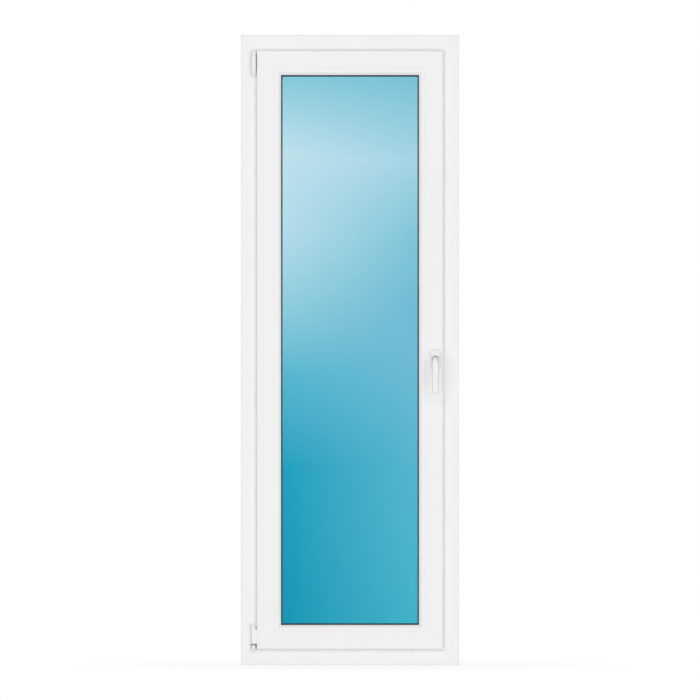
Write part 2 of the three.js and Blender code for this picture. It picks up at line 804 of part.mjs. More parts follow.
// On the frame: a cup under the sleeve, a plate behind the lip and a foot on the sill's rebate.
add(
  "corner_bearing",
  join(
    upright(LOWER_CUP.radius, LOWER_CUP.from, LOWER_CUP.to),
    upright(PIN, LOWER_CUP.to - 1, LOWER_CUP.to + 4),
    box(hinge.x - 1, hingeRebate + 5, LEAF.front, LEAF.back, LOWER_CUP.from, LOWER_CUP.to),
    box(hinge.x + 9, hingeRebate + 5, LEAF.front, LEAF.back, LOWER_CUP.from, 58.4),
    box(hingeRebate + GAP, hingeRebate + 52, LEAF.front, 4, rebate + 0.2, 58.4),
  ),
  WHITE_PAINT,
);

// Turns on the bearing's pin, and carries the tilting pin across its head.
{
  const flats = box(
    hinge.x - PIVOT.flat,
    hinge.x + PIVOT.flat,
    hinge.y - 10,
    hinge.y + 10,
    PIVOT.base - 1,
    PIVOT.to,
  );
  const head = common(upright(PIVOT.radius - 1.5, PIVOT.from, PIVOT.to), flats);
  const base = upright(PIVOT.radius, PIVOT.from, PIVOT.base);
  const pinHole = upright(PIN + RUNNING_GAP, PIVOT.from - 1, LOWER_CUP.to + 4.3);
  const crossHole = rod(
    "x",
    hinge.y,
    TILT_Z,
    hinge.x - 10,
    hinge.x + 10,
    TILT_PIN + RUNNING_GAP,
    16,
  );
  add("corner_pivot", cut(join(head, base), pinHole, crossHole), WHITE_PAINT);
}
add(
  "tilt_pin",
  rod("x", hinge.y, TILT_Z, hinge.x - FORK.outer - 0.4, hinge.x + FORK.outer + 0.4, TILT_PIN, 16),
  STEEL,
);

// On the sash: a sleeve with a fork over the tilting pin, and a plate round to the hardware groove side.
{
  const sashEdge = -half.width + grooveSide;
  const leg = (side) => {
    const a = hinge.x + side * FORK.inner;
    const b = hinge.x + side * FORK.outer;
    return box(Math.min(a, b), Math.max(a, b), hinge.y - FORK.reach, hinge.y + FORK.reach, FORK.from, 66);
  };
  const body = join(
    upright(KNUCKLE, SLEEVE_FOOT, SLEEVE_TOP),
    upright(FORK.outer + 0.4, SLEEVE_FOOT, 66),
    leg(-1),
    leg(1),
    box(hinge.x - 1, sashEdge - 0.4, LEAF.front, LEAF.back, 67, SLEEVE_TOP),
    box(hinge.x, hinge.x + 5, hinge.y + 3, LEAF.back, 67, SLEEVE_TOP),
    box(sashEdge - 2.4, sashEdge - 0.4, LEAF.front, -10, 67, SLEEVE_TOP),
  );
  const crossHole = rod(
    "x",
    hinge.y,
    TILT_Z,
    hinge.x - 12,
    hinge.x + 12,
    TILT_PIN + RUNNING_GAP,
    16,
  );
  add("corner_hinge", cut(body, crossHole), ZINC);
}

// The way out at the back of a hinge cover, for the plate that joins the sleeve.
const plateWay = (from, to) =>
  box(hinge.x - 1.4, hinge.x + 12, hinge.y + 2.6, hinge.y + 12, from, to);

// The lower cover is a cup over the sleeve, with a slanting top and a flange towards the sash's edge.
{
  const flange = box(
    hinge.x + 6,
    -half.width + FRAME_SIGHT - GAP,
    hinge.y - 5,
    hinge.y - 3,
    67,
    LOWER_HINGE_TOP,
  );
  const slant = outline([
    [hinge.x - 12, LOWER_HINGE_TOP + 4],
    [hinge.x + 12, LOWER_HINGE_TOP - 22],
    [hinge.x + 12, LOWER_HINGE_TOP + 20],
    [hinge.x - 12, LOWER_HINGE_TOP + 20],
  ]);
  add(
    "corner_hinge_cover",
    cut(
      join(upright(COVER.outer, 66.4, LOWER_HINGE_TOP + 6, 32), flange),
      upright(COVER.inner, 60, SLEEVE_TOP + 0.4, 32),
      plateWay(60, SLEEVE_TOP + 0.4),
      prism(slant, "y", hinge.y - 12, hinge.y + 12),
    ),
    WHITE_COVER,
  );
}

// ---------------------------------------------------------------- upper hinge and stay arm

const STAY = {
  bearingTop: UPPER_HINGE_FOOT + 8,
  leafFoot: UPPER_HINGE_FOOT + 14,
  sleeveTop: sashTop - 12,
  stripLow: HEIGHT - rebate - 4.5,
  stripHigh: HEIGHT - rebate - 2,
  leafEnd: -half.width + grooveSide - 1.5,
  pinX: 80,
  pinLength: 15,
  width: 14,
};

// On the frame: a collar, a plate behind the lip and a tail down the rebate.
add(
  "stay_bearing",
  cut(
    join(
      upright(LOWER_CUP.radius, UPPER_HINGE_FOOT, STAY.bearingTop),
      box(hinge.x - 1, hingeRebate + 2.4, LEAF.front, LEAF.back, UPPER_HINGE_FOOT, STAY.bearingTop),
      box(
        hingeRebate + GAP,
        hingeRebate + 2.4,
        LEAF.front,
        6,
        UPPER_HINGE_FOOT - 52,
        STAY.bearingTop,
      ),
    ),
    upright(PIN + RUNNING_GAP, UPPER_HINGE_FOOT + 2, STAY.bearingTop + 1),
  ),
  WHITE_PAINT,
);
add(
  "stay_pin",
  join(
    upright(PIN, UPPER_HINGE_FOOT + 3, STAY.sleeveTop + 1),
    upright(COVER.outer, STAY.sleeveTop + 0.4, sashTop - 0.6, 32),
    upright(COVER.outer - 0.8, sashTop - 1, sashTop, 32),
  ),
  WHITE_PAINT,
);

// The arm lies in the air gap over the sash, and its pin slides in the top face plate.
{
  const arm = outline([
    [hingeRebate + GAP, LEAF.front],
    [-half.width + grooveSide + 12, LEAF.front],
    [-half.width + grooveSide + 12, groove - STAY.width / 2],
    [STAY.pinX + STAY.width / 2, groove - STAY.width / 2, 6.5],
    [STAY.pinX + STAY.width / 2, groove + STAY.width / 2, 6.5],
    [hingeRebate + GAP, groove + STAY.width / 2],
  ]);
  const { leafFoot, leafEnd, sleeveTop, stripLow, stripHigh } = STAY;
  const body = join(
    upright(KNUCKLE, STAY.bearingTop + GAP, sleeveTop),
    box(hinge.x - 1, leafEnd, LEAF.front, LEAF.back, leafFoot, sleeveTop),
    box(hinge.x, hinge.x + 5, hinge.y + 3, LEAF.back, leafFoot, sleeveTop),
    box(hinge.x + 9.5, leafEnd, LEAF.front, LEAF.back, leafFoot, stripHigh),
    prism(arm, "z", stripLow, stripHigh),
    rod("z", STAY.pinX, groove, stripLow - STAY.pinLength, stripLow + 1, PIN, 16),
  );
  add("stay_arm", cut(body, upright(PIN + RUNNING_GAP, STAY.bearingTop, sleeveTop + 1)), ZINC);
}
{
  const from = STAY.bearingTop + 0.5;
  const to = STAY.sleeveTop;
  const tube = cut(upright(COVER.outer, from, to, 32), upright(COVER.inner, from - 1, to + 1, 32));
  add("stay_cover", cut(tube, plateWay(STAY.leafFoot - 0.4, to + 1)), WHITE_COVER);
}

// ---------------------------------------------------------------- handle

const ROSETTE = { width: 31, height: 59, depth: 11, corner: 11, wall: 2 };
const BASE = { width: 26, height: 54, depth: 5.2, corner: 9 };
const NECK = { radius: 9.3, from: 6 };
const LEVER = { hub: 11, halfWidth: 9.3, length: 106, thick: 13, front: 58, edge: 2.2 };

const handleGroup = new THREE.Group();
handleGroup.position.set(handle.x, sashFace, handle.z);
casement.add(handleGroup);
function addToHandle(name, geometry, look) {
  handleGroup.add(add(name, geometry, look));
}

const plateShape = ({ width, height, corner }, shrink = 0) =>
  outline(
    boxPoints(
      -width / 2 + shrink,
      width / 2 - shrink,
      -height / 2 + shrink,
      height / 2 - shrink,
      corner - shrink,
    ),
  );
const localScrew = (side, radius, y0, y1) =>
  rod("y", 0, (side * SCREW_SPACING) / 2, y0, y1, radius, 16);

addToHandle(
  "handle_base",
  cut(
    prism(plateShape(BASE), "y", -BASE.depth, -0.3, 6),
    rod("y", 0, 0, -20, 20, 6.5),
    localScrew(-1, 2.8, -20, 20),
    localScrew(1, 2.8, -20, 20),
  ),
  ZINC,
);
addToHandle(
  "handle_rosette",
  cut(
    prism(plateShape(ROSETTE), "y", -ROSETTE.depth, -0.3, 8),
    prism(plateShape(ROSETTE, ROSETTE.wall), "y", -ROSETTE.depth + ROSETTE.wall, 1, 8),
    rod("y", 0, 0, -20, 20, NECK.radius + RUNNING_GAP),
  ),
  WHITE_COVER,
);

// Each screw goes through the base and the stile's face into the gearbox case.
for (const [side, name] of [
  [1, "upper"],
  [-1, "lower"],
]) {
  addToHandle(
    `handle_screw_${name}`,
    join(
      localScrew(side, 4.2, -BASE.depth - 2.8, -BASE.depth - GAP),
      localScrew(side, 2.4, -BASE.depth - 1, groove - GEARBOX.width / 2 + 0.9 - sashFace),
    ),
    STEEL,
  );
}

// The lever hangs down at rest: a round hub over the neck, then a flat grip.
{
  const grip = new THREE.Shape();
  const { hub, halfWidth, length, edge } = LEVER;
  const corner = 3;
  const w = halfWidth - edge;
  const bottom = -length + edge;
  grip.absarc(0, 0, hub - edge, 0, Math.PI);
  grip.quadraticCurveTo(-hub + edge, -14, -w, -26);
  grip.lineTo(-w, bottom + corner);
  grip.quadraticCurveTo(-w, bottom, -w + corner, bottom);
  grip.lineTo(w - corner, bottom);
  grip.quadraticCurveTo(w, bottom, w, bottom + corner);
  grip.lineTo(w, -26);
  grip.quadraticCurveTo(hub - edge, -14, hub - edge, 0);
  const blade = new THREE.ExtrudeGeometry(grip, {
    depth: LEVER.thick - 2 * edge,
    bevelEnabled: true,
    bevelThickness: edge,
    bevelSize: edge,
    bevelSegments: 2,
    curveSegments: 10,
  });
  blade.rotateX(Math.PI / 2).translate(0, -LEVER.front + LEVER.thick - edge, 0);
  const neck = rod("y", 0, 0, -LEVER.front + LEVER.thick - 1, -NECK.from, NECK.radius, 32);
  const socket = SPINDLE / 2 + RUNNING_GAP;
  const hole = box(-socket, socket, -42, 0, -socket, socket);
  addToHandle("handle_lever", cut(join(blade, neck), hole), WHITE_PAINT);
}
addToHandle(
  "handle_spindle",
  box(
    -SPINDLE / 2,
    SPINDLE / 2,
    -41,
    groove + PINION.thick / 2 - sashFace,
    -SPINDLE / 2,
    SPINDLE / 2,
  ),
  STEEL,
);

export default casement;
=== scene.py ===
"""A white tilt-and-turn casement window, seen straight on from the room.

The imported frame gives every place. Profile sections and hinge and handle shapes are drawn here again,
finer than in the CAD: lengths in this file are millimetres, and turn into metres where a mesh is made.
"""

import math

import bmesh
import bpy
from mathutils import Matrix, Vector
from mathutils.geometry import tessellate_polygon

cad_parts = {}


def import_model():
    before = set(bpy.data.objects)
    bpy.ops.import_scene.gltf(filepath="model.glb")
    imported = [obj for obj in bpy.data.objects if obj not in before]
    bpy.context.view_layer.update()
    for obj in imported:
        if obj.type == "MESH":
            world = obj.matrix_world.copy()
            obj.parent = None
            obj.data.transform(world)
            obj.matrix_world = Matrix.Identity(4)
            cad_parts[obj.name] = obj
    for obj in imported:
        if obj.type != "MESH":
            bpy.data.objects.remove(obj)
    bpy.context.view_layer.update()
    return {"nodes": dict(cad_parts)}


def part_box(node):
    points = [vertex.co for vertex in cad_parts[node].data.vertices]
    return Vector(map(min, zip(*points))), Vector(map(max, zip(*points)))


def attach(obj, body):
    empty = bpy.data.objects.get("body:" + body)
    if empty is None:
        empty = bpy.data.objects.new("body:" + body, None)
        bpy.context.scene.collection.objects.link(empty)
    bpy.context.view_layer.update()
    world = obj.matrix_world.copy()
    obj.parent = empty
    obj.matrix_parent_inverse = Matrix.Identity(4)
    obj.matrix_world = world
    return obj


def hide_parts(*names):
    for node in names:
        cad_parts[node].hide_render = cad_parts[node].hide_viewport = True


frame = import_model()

MM = 0.001
nodes = frame["nodes"]


# ------------------------------------------------------------------ places read from the frame


def low(node, axis):
    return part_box(node)[0][axis] / MM


def high(node, axis):
    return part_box(node)[1][axis] / MM


def middle(node, axis):
    return (low(node, axis) + high(node, axis)) / 2


X, Y, Z = 0, 1, 2
LEFT = low("frame_hinge_jamb", X)
RIGHT = high("frame_lock_jamb", X)
FOOT = low("frame_sill", Z)
HEAD = high("frame_head", Z)
FRAME_FACE = low("frame_sill", Y)
FRAME_BACK = high("frame_sill", Y)
STOP_FACE = high("frame_seal", Y) + 0.2
SASH_FACE = low("sash_lock_stile", Y)
SASH_BACK = high("sash_lock_stile", Y)
LIP_BACK = low("sash_seal", Y) - 0.1
GROOVE_Y = middle("face_plate_top", Y)
BEAD_BACK = low("glazing_seal_room", Y)
HINGE_X, HINGE_Y = middle("stay_cover", X), middle("stay_cover", Y)
HANDLE_X, HANDLE_Z = middle("handle_rosette", X), middle("handle_rosette", Z)
LEVER_FRONT = low("handle_lever", Y)
LEVER_END = low("handle_lever", Z)

# Insets from the frame's outer edge, which are the same on all four sides.
SASH_EDGE = RIGHT - round(high("sash_lock_stile", X), 1)
SIGHT = RIGHT - round(low("sash_lock_stile", X), 1)
GROOVE_SIDE = RIGHT - round(high("face_plate_lock_side", X), 1)
REBATE = SASH_EDGE + 6  # the sash covers 6 mm of the frame's face
STOP_TOP = REBATE + 20
GLAZING_BASE = SIGHT - 20  # where the glazing rebate is deepest


# ------------------------------------------------------------------ materials


class Look:
    """A node material with one Principled shader, built up step by step."""

    def __init__(self, name, color, roughness, metallic=0.0, **sockets):
        self.material = bpy.data.materials.new(name)
        self.material.use_nodes = True
        self.tree = self.material.node_tree
        self.shader = self.tree.nodes["Principled BSDF"]
        self.output = self.tree.nodes["Material Output"]
        self.place = self.tree.nodes.new("ShaderNodeTexCoord").outputs["Object"]
        self.normal = None
        self.put("Base Color", (*color, 1))
        self.put("Roughness", roughness)
        self.put("Metallic", metallic)
        for socket, value in sockets.items():
            self.put(socket.replace("_", " "), value)

    def put(self, socket, value):
        self.shader.inputs[socket].default_value = value

    def node(self, kind, **values):
        node = self.tree.nodes.new(kind)
        for name, value in values.items():
            setattr(node, name, value)
        return node

    def link(self, source, target):
        self.tree.links.new(source, target)

    def stretched(self, scale):
        """Object coordinates times a scale, or times one for each axis."""
        mapping = self.node("ShaderNodeMapping")
        scales = [scale] * 3 if isinstance(scale, (int, float)) else scale
        mapping.inputs["Scale"].default_value = scales
        self.link(self.place, mapping.inputs["Vector"])
        return mapping.outputs["Vector"]

    def noise(self, scale, detail=4.0, rough=0.55):
        texture = self.node("ShaderNodeTexNoise")
        texture.inputs["Scale"].default_value = 1.0
        texture.inputs["Detail"].default_value = detail
        texture.inputs["Roughness"].default_value = rough
        self.link(self.stretched(scale), texture.inputs["Vector"])
        return texture.outputs["Fac"]

    def cells(self, scale):
        texture = self.node("ShaderNodeTexVoronoi")
        texture.inputs["Scale"].default_value = 1.0
        self.link(self.stretched(scale), texture.inputs["Vector"])
        return texture.outputs["Color"]

    def ramp(self, factor, stops):
        ramp = self.node("ShaderNodeValToRGB")
        elements = ramp.color_ramp.elements
        while len(elements) < len(stops):
            elements.new(0.5)
        for element, (position, color) in zip(elements, stops):
            element.position = position
            element.color = (*color, 1) if len(color) == 3 else color
        self.link(factor, ramp.inputs["Fac"])
        return ramp.outputs["Color"]

    def vary_color(self, factor, stops):
        self.link(self.ramp(factor, stops), self.shader.inputs["Base Color"])

    def vary_roughness(self, factor, smooth, rough):
        span = self.node("ShaderNodeMapRange")
        span.inputs["To Min"].default_value = smooth
        span.inputs["To Max"].default_value = rough
        self.link(factor, span.inputs["Value"])
        self.link(span.outputs["Result"], self.shader.inputs["Roughness"])

    def bump(self, height, depth, strength=0.3):
        """Adds a relief, depth in millimetres, on top of any before it."""
        bump = self.node("ShaderNodeBump")
        bump.inputs["Strength"].default_value = strength
        bump.inputs["Distance"].default_value = depth * MM
        self.link(height, bump.inputs["Height"])
        if self.normal:
            self.link(self.normal, bump.inputs["Normal"])
        self.normal = bump.outputs["Normal"]
        self.link(self.normal, self.shader.inputs["Normal"])


def grey(value, warmth=0.0):
    return (value * (1 + warmth), value, value * (1 - warmth))


def extruded_plastic(name, along):
    """White uPVC, with the faint draw lines that the die leaves along the profile."""
    look = Look(name, grey(0.88), 0.3, Coat_Weight=0.12, Coat_Roughness=0.22)
    cloud = look.noise(3.1, detail=3)
    look.vary_color(cloud, [(0.3, grey(0.868, 0.002)), (0.7, grey(0.892, -0.001))])
    draw = [700, 700, 700]
    draw[along] = 2.5
    lines = look.noise(draw, detail=3, rough=0.7)
    look.vary_roughness(lines, 0.24, 0.38)
    look.bump(lines, 0.02, 0.25)
    look.bump(look.noise(1600, detail=2), 0.01, 0.2)
    return look.material


def moulded_plastic(name, color, smooth, rough, variation=0.015):
    """Plastic from a mould: an even, very fine spark-eroded grain."""
    look = Look(name, color, smooth)
    cloud = look.noise(40, detail=3)
    darker = tuple(c * (1 - variation) for c in color)
    lighter = tuple(min(1, c * (1 + variation)) for c in color)
    look.vary_color(cloud, [(0.3, darker), (0.7, lighter)])
    look.vary_roughness(look.noise(300, detail=2), smooth, rough)
    look.bump(look.noise(1100, detail=1), 0.006, 0.15)
    return look.material


def powder_coat(name):
    look = Look(name, grey(0.87), 0.34, Coat_Weight=0.25, Coat_Roughness=0.2)
    look.vary_color(look.noise(25), [(0.3, grey(0.855)), (0.7, grey(0.885))])
    orange_peel = look.noise(420, detail=2)
    look.vary_roughness(orange_peel, 0.28, 0.4)
    look.bump(orange_peel, 0.05, 0.3)
    return look.material


def rubber(name):
    look = Look(name, (0.03, 0.045, 0.05), 0.6)
    dust = look.noise(60, detail=5)
    look.vary_color(dust, [(0.35, (0.024, 0.038, 0.043)), (0.75, (0.045, 0.062, 0.068))])
    look.vary_roughness(look.noise(500), 0.5, 0.75)
    look.bump(look.noise(1200, detail=3), 0.05, 0.35)
    return look.material


def zinc_plate(name):
    """Bright zinc with a blue passivation that turns straw-coloured in places."""
    look = Look(name, (0.62, 0.63, 0.65), 0.3, metallic=1.0, Anisotropic=0.25)
    tint = look.noise((28, 28, 9), detail=4)
    look.vary_color(
        tint,
        [(0.3, (0.55, 0.58, 0.63)), (0.55, (0.66, 0.67, 0.68)), (0.75, (0.7, 0.68, 0.62))],
    )
    rolled = look.noise((60, 900, 60), detail=3, rough=0.7)
    look.vary_roughness(rolled, 0.24, 0.42)
    look.bump(rolled, 0.02, 0.25)
    return look.material


def galvanised_steel(name):
    look = Look(name, (0.5, 0.52, 0.54), 0.45, metallic=1.0)
    spangle = look.cells(90)
    look.vary_color(spangle, [(0.2, (0.4, 0.42, 0.44)), (0.8, (0.62, 0.64, 0.66))])
    look.vary_roughness(spangle, 0.32, 0.6)
    look.bump(look.noise(400), 0.03, 0.3)
    return look.material


def machined_steel(name):
    look = Look(name, (0.5, 0.51, 0.53), 0.3, metallic=1.0)
    look.vary_color(look.noise(180), [(0.3, grey(0.44)), (0.7, grey(0.58))])
    look.vary_roughness(look.noise(700), 0.22, 0.42)
    look.bump(look.noise(1500), 0.02, 0.25)
    return look.material


def let_lamps_through(look, color):
    """Lamps shine through the pane, so that it throws only a pale shadow."""
    clear = look.node("ShaderNodeBsdfTransparent")
    clear.inputs["Color"].default_value = (*color, 1)
    path = look.node("ShaderNodeLightPath")
    mix = look.node("ShaderNodeMixShader")
    look.link(path.outputs["Is Shadow Ray"], mix.inputs["Fac"])
    look.link(look.shader.outputs["BSDF"], mix.inputs[1])
    look.link(clear.outputs["BSDF"], mix.inputs[2])
    look.link(mix.outputs["Shader"], look.output.inputs["Surface"])


def clear_glass(name):
    look = Look(name, (0.97, 0.99, 0.99), 0.0, Transmission_Weight=1.0, IOR=1.45)
    look.put("Specular Tint", (0.1, 0.6, 0.8, 1))
    haze = look.noise(2, detail=0)
    look.vary_color(haze, [(0.3, (0.955, 0.985, 0.985)), (0.7, (0.985, 0.995, 0.995))])
    let_lamps_through(look, (0.9, 0.97, 0.98))
    return look.material


def glass_with_painted_sky_reflection(name, foot, head, left, right):
    """The outdoor pane, its colour a painted reflection of the sky: deep blue below, pale near the top,
    with a lighter painted highlight band.
    """
    look = Look(name, (0.3, 0.65, 0.8), 0.0, Transmission_Weight=1.0, IOR=1.45)
    look.put("Specular Tint", (0.05, 0.55, 0.8, 1))
    # A slow noise bends the bands a little.
    wander = look.node("ShaderNodeTexNoise")
    wander.inputs["Scale"].default_value = 1.6
    wander.inputs["Detail"].default_value = 0.0
    look.link(look.place, wander.inputs["Vector"])
    drift = look.node("ShaderNodeMixRGB", blend_type="ADD")
    drift.inputs["Fac"].default_value = 0.05
    look.link(look.place, drift.inputs["Color1"])
    look.link(wander.outputs["Color"], drift.inputs["Color2"])
    split = look.node("ShaderNodeSeparateXYZ")
    look.link(drift.outputs["Color"], split.inputs["Vector"])

    def span(source, start, end):
        spread = look.node("ShaderNodeMapRange")
        spread.inputs["From Min"].default_value = start
        spread.inputs["From Max"].default_value = end
        look.link(source, spread.inputs["Value"])
        return spread.outputs["Result"]

    # The painted sky reflection: colour by height, blended from the left edge to the right.
    height = span(split.outputs["Z"], foot, head)
    blend = look.node("ShaderNodeMixRGB")
    look.link(span(split.outputs["X"], left, right), blend.inputs["Fac"])
    look.link(look.ramp(height, PAINTED_SKY_LEFT), blend.inputs["Color1"])
    look.link(look.ramp(height, PAINTED_SKY_RIGHT), blend.inputs["Color2"])
    look.link(blend.outputs["Color"], look.shader.inputs["Base Color"])
    let_lamps_through(look, (0.5, 0.56, 0.58))
    return look.material


# Painted reflection of the sky on the outdoor pane, from foot (0) to head (1), at its left and right edges;
# the lightest stops, at 0.72 to 0.86, are a painted highlight band.
PAINTED_SKY_LEFT = [
    (0.0, (0.0, 0.26, 0.44)),
    (0.3, (0.0, 0.32, 0.5)),
    (0.48, (0.09, 0.46, 0.62)),
    (0.6, (0.29, 0.61, 0.74)),
    (0.72, (0.49, 0.74, 0.84)),
    (0.86, (0.54, 0.77, 0.85)),
    (1.0, (0.25, 0.58, 0.72)),
]
PAINTED_SKY_RIGHT = [
    (0.0, (0.045, 0.43, 0.56)),
    (0.3, (0.085, 0.45, 0.6)),
    (0.48, (0.15, 0.48, 0.65)),
    (0.6, (0.16, 0.49, 0.66)),
    (0.72, (0.22, 0.55, 0.7)),
    (0.86, (0.38, 0.66, 0.79)),
    (1.0, (0.2, 0.53, 0.68)),
]

PVC_UP = extruded_plastic("pvc_drawn_upright", Z)
PVC_LEVEL = extruded_plastic("pvc_drawn_level", X)
COVER = moulded_plastic("cover_plastic", grey(0.89), 0.27, 0.31, 0.006)
PAINT = powder_coat("white_powder_coat")
RUBBER = rubber("seal_rubber")
ZINC = zinc_plate("zinc_plate")
GALVANISED = galvanised_steel("galvanised_steel")
STEEL = machined_steel("machined_steel")
SPACER = moulded_plastic("warm_edge_spacer", (0.03, 0.033, 0.036), 0.4, 0.6, 0.2)
BLOCK = moulded_plastic("setting_block_plastic", (0.08, 0.22, 0.5), 0.45, 0.6, 0.12)
ROOM_GLASS = clear_glass("room_glass")
# The outdoor pane's colour is a painted reflection of the sky, with a painted highlight band.
GLASS_WITH_PAINTED_SKY = glass_with_painted_sky_reflection(
    "glass_with_painted_sky_reflection",
    low("glazing_seal_room", Z) * MM,
    high("glazing_seal_room", Z) * MM,
    low("glazing_seal_room", X) * MM,
    high("glazing_seal_room", X) * MM,
)


# ------------------------------------------------------------------ meshes


SHARP = 32  # degrees: a steeper edge between two faces is shaded as an edge


def closed_mesh(name, points, faces):
    """A mesh from points in millimetres, its faces turned outwards."""
    mesh = bpy.data.meshes.new(name)
    mesh.from_pydata([Vector(p) * MM for p in points], [], faces)
    work = bmesh.new()
    work.from_mesh(mesh)
    bmesh.ops.remove_doubles(work, verts=work.verts, dist=1e-7)
    bmesh.ops.recalc_face_normals(work, faces=work.faces)
    work.to_mesh(mesh)
    work.free()
    return mesh


class Build:
    """Collects the points and faces of one piece, which may be made of several closed shells."""

    def __init__(self):
        self.points = []
        self.faces = []

    def loft(self, rings, close=False):
        """Rings of equal length joined one to the next: the ends are capped, or joined if close."""
        start = len(self.points)
        count = len(rings[0])
        for ring in rings:
            self.points += ring
        spans = len(rings) if close else len(rings) - 1
        for i in range(spans):
            a = start + i * count
            b = start + (i + 1) % len(rings) * count
            for k in range(count):
                n = (k + 1) % count
                self.faces.append((a + k, a + n, b + n, b + k))
        if not close:
            last = start + (len(rings) - 1) * count
            self.faces.append(tuple(range(start, start + count)))
            self.faces.append(tuple(range(last, last + count)))
        return self

    def prism(self, loops, place):
        """An outline with holes, pushed from end 0 to end 1: place(a, b, end) gives each point."""
        start = len(self.points)
        total = sum(len(loop) for loop in loops)
        for end in (0, 1):
            for loop in loops:
                self.points += [place(a, b, end) for a, b in loop]
        first = start
        for loop in loops:
            for k in range(len(loop)):
                n = (k + 1) % len(loop)
                self.faces.append((first + k, first + n, first + n + total, first + k + total))
            first += len(loop)
        flat = [[Vector((a, b, 0)) for a, b in loop] for loop in loops]
        for triangle in tessellate_polygon(flat):
            self.faces.append(tuple(start + i for i in triangle))
            self.faces.append(tuple(start + total + i for i in reversed(triangle)))
        return self

    def done(self, node, body, material, slot, sharp=SHARP, name=None):
        """Makes the piece that stands for a CAD node and rides on its body."""
        name = name or f"visual_{node}"
        mesh = closed_mesh(name, self.points, self.faces)
        mesh.shade_smooth()
        mesh.set_sharp_from_angle(angle=math.radians(sharp))
        mesh.materials.append(material)
        thing = bpy.data.objects.new(name, mesh)
        bpy.context.scene.collection.objects.link(thing)
        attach(thing, body)
        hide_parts(node)
        return thing


def arc(center, radius, start, end, steps):
    """Points on an arc, angles in degrees."""
    return [
        (
            center[0] + radius * math.cos(math.radians(start + (end - start) * i / steps)),
            center[1] + radius * math.sin(math.radians(start + (end - start) * i / steps)),
        )
        for i in range(steps + 1)
    ]


def disc(center, radius, count=24):
    """The outline of a full circle."""
    return arc(center, radius, 0, 360 - 360 / count, count - 1)


def rounded(corners, steps=6):
    """An outline from corners (a, b) or (a, b, radius), anticlockwise, with true arcs. At a concave
    right angle, such as the root of the sash's lip, and at an acute corner the arc turns the wrong way."""
    outline = []
    count = len(corners)
    for i, corner in enumerate(corners):
        here = Vector(corner[:2])
        radius = corner[2] if len(corner) > 2 else 0
        if not radius:
            outline.append(tuple(here))
            continue
        before = (Vector(corners[i - 1][:2]) - here).normalized()
        after = (Vector(corners[(i + 1) % count][:2]) - here).normalized()
        angle = before.angle(after)
        reach = radius / math.tan(angle / 2)
        center = here + (before + after).normalized() * (radius / math.sin(angle / 2))
        start = here + before * reach - center
        turn = math.pi - angle
        if start.x * after.y - start.y * after.x < 0:
            turn = -turn
        for k in range(steps + 1):
            t = turn * k / steps
            outline.append(
                (
                    center.x + start.x * math.cos(t) - start.y * math.sin(t),
                    center.y + start.x * math.sin(t) + start.y * math.cos(t),
                )
            )
    return outline


def rectangle(a0, a1, b0, b1, radius=0.0):
    return [(a0, b0, radius), (a1, b0, radius), (a1, b1, radius), (a0, b1, radius)]


def carve(thing, *tools):
    """Cuts closed shapes out of a piece, and leaves no modifier behind."""
    for tool in tools:
        cut = thing.modifiers.new("cut", "BOOLEAN")
        cut.operation = "DIFFERENCE"
        cut.solver = "EXACT"
        cut.object = tool
    bpy.context.view_layer.update()
    solid = thing.evaluated_get(bpy.context.evaluated_depsgraph_get())
    old = thing.data
    thing.data = bpy.data.meshes.new_from_object(solid)
    thing.modifiers.clear()
    name = old.name
    bpy.data.meshes.remove(old)
    thing.data.name = name
    for tool in tools:
        bpy.data.objects.remove(tool)
    thing.data.shade_smooth()
    thing.data.set_sharp_from_angle(angle=math.radians(SHARP))


def cutter(outline, y0, y1):
    """A shape to carve with: an outline in the X-Z plane, pushed along Y."""
    build = Build().prism([outline], lambda a, b, end: (a, (y0, y1)[end], b))
    thing = bpy.data.objects.new("cutter", closed_mesh("cutter", build.points, build.faces))
    bpy.context.scene.collection.objects.link(thing)
    return thing


def edged(thing, width):
    """Small chamfers that catch the light."""
    bevel = thing.modifiers.new("edges", "BEVEL")
    bevel.width = width * MM
    bevel.segments = 2
    bevel.limit_method = "ANGLE"
    bevel.angle_limit = math.radians(50)


# ------------------------------------------------------------------ mitred members and seals

SEAM = 0.03  # half the weld line at a mitre


def chamber(a0, a1, b0, b1):
    """The outline of a hollow inside a section."""
    return rounded(rectangle(a0, a1, b0, b1, 0.8), 2)


def member(node, loops, side, body, name=None):
    """One side of the rectangle: the section is (inset from the outer edge, depth), mitred at both ends."""

    def place(inset, depth, end):
        near = inset + SEAM
        if side in ("left", "right"):
            x = LEFT + inset if side == "left" else RIGHT - inset
            return (x, depth, HEAD - near if end else FOOT + near)
        z = FOOT + inset if side == "bottom" else HEAD - inset
        return (RIGHT - near if end else LEFT + near, depth, z)

    material = PVC_UP if side in ("left", "right") else PVC_LEVEL
    return Build().prism(loops, place).done(node, body, material, "white_pvc", name=name)


WALL = 2.8
WEB = 1.2  # between two chambers

# Each section is an outline, then its chambers: (inset, depth), with a radius where a corner is round.
FRAME_SECTION = [
    rounded(
        [
            (0, FRAME_FACE, 1.8),
            (REBATE, FRAME_FACE, 1.8),
            (REBATE, STOP_FACE, 1.2),
            (STOP_TOP, STOP_FACE, 1.8),
            (STOP_TOP, FRAME_BACK, 3.2),
            (0, FRAME_BACK, 1.5),
            (0, 24),
            (2.5, 24),
            (2.5, 14),
            (0, 14),
            (0, -14),
            (2.5, -14),
            (2.5, -24),
            (0, -24),
        ]
    ),
    chamber(5.3, 28, FRAME_FACE + WALL, -22),
    chamber(28 + WEB, REBATE - WALL, FRAME_FACE + WALL, -22),
    chamber(6, 42, -22 + WEB, 10),  # for the steel
    chamber(42 + WEB, REBATE - WALL, -22 + WEB, 10),
    chamber(5.3, REBATE - WALL, 10 + WEB, STOP_FACE - WALL),
    chamber(5.3, 38, STOP_FACE + 0.4, FRAME_BACK - WALL),
    chamber(38 + WEB, STOP_TOP - WALL, STOP_FACE + WALL, FRAME_BACK - WALL),
]

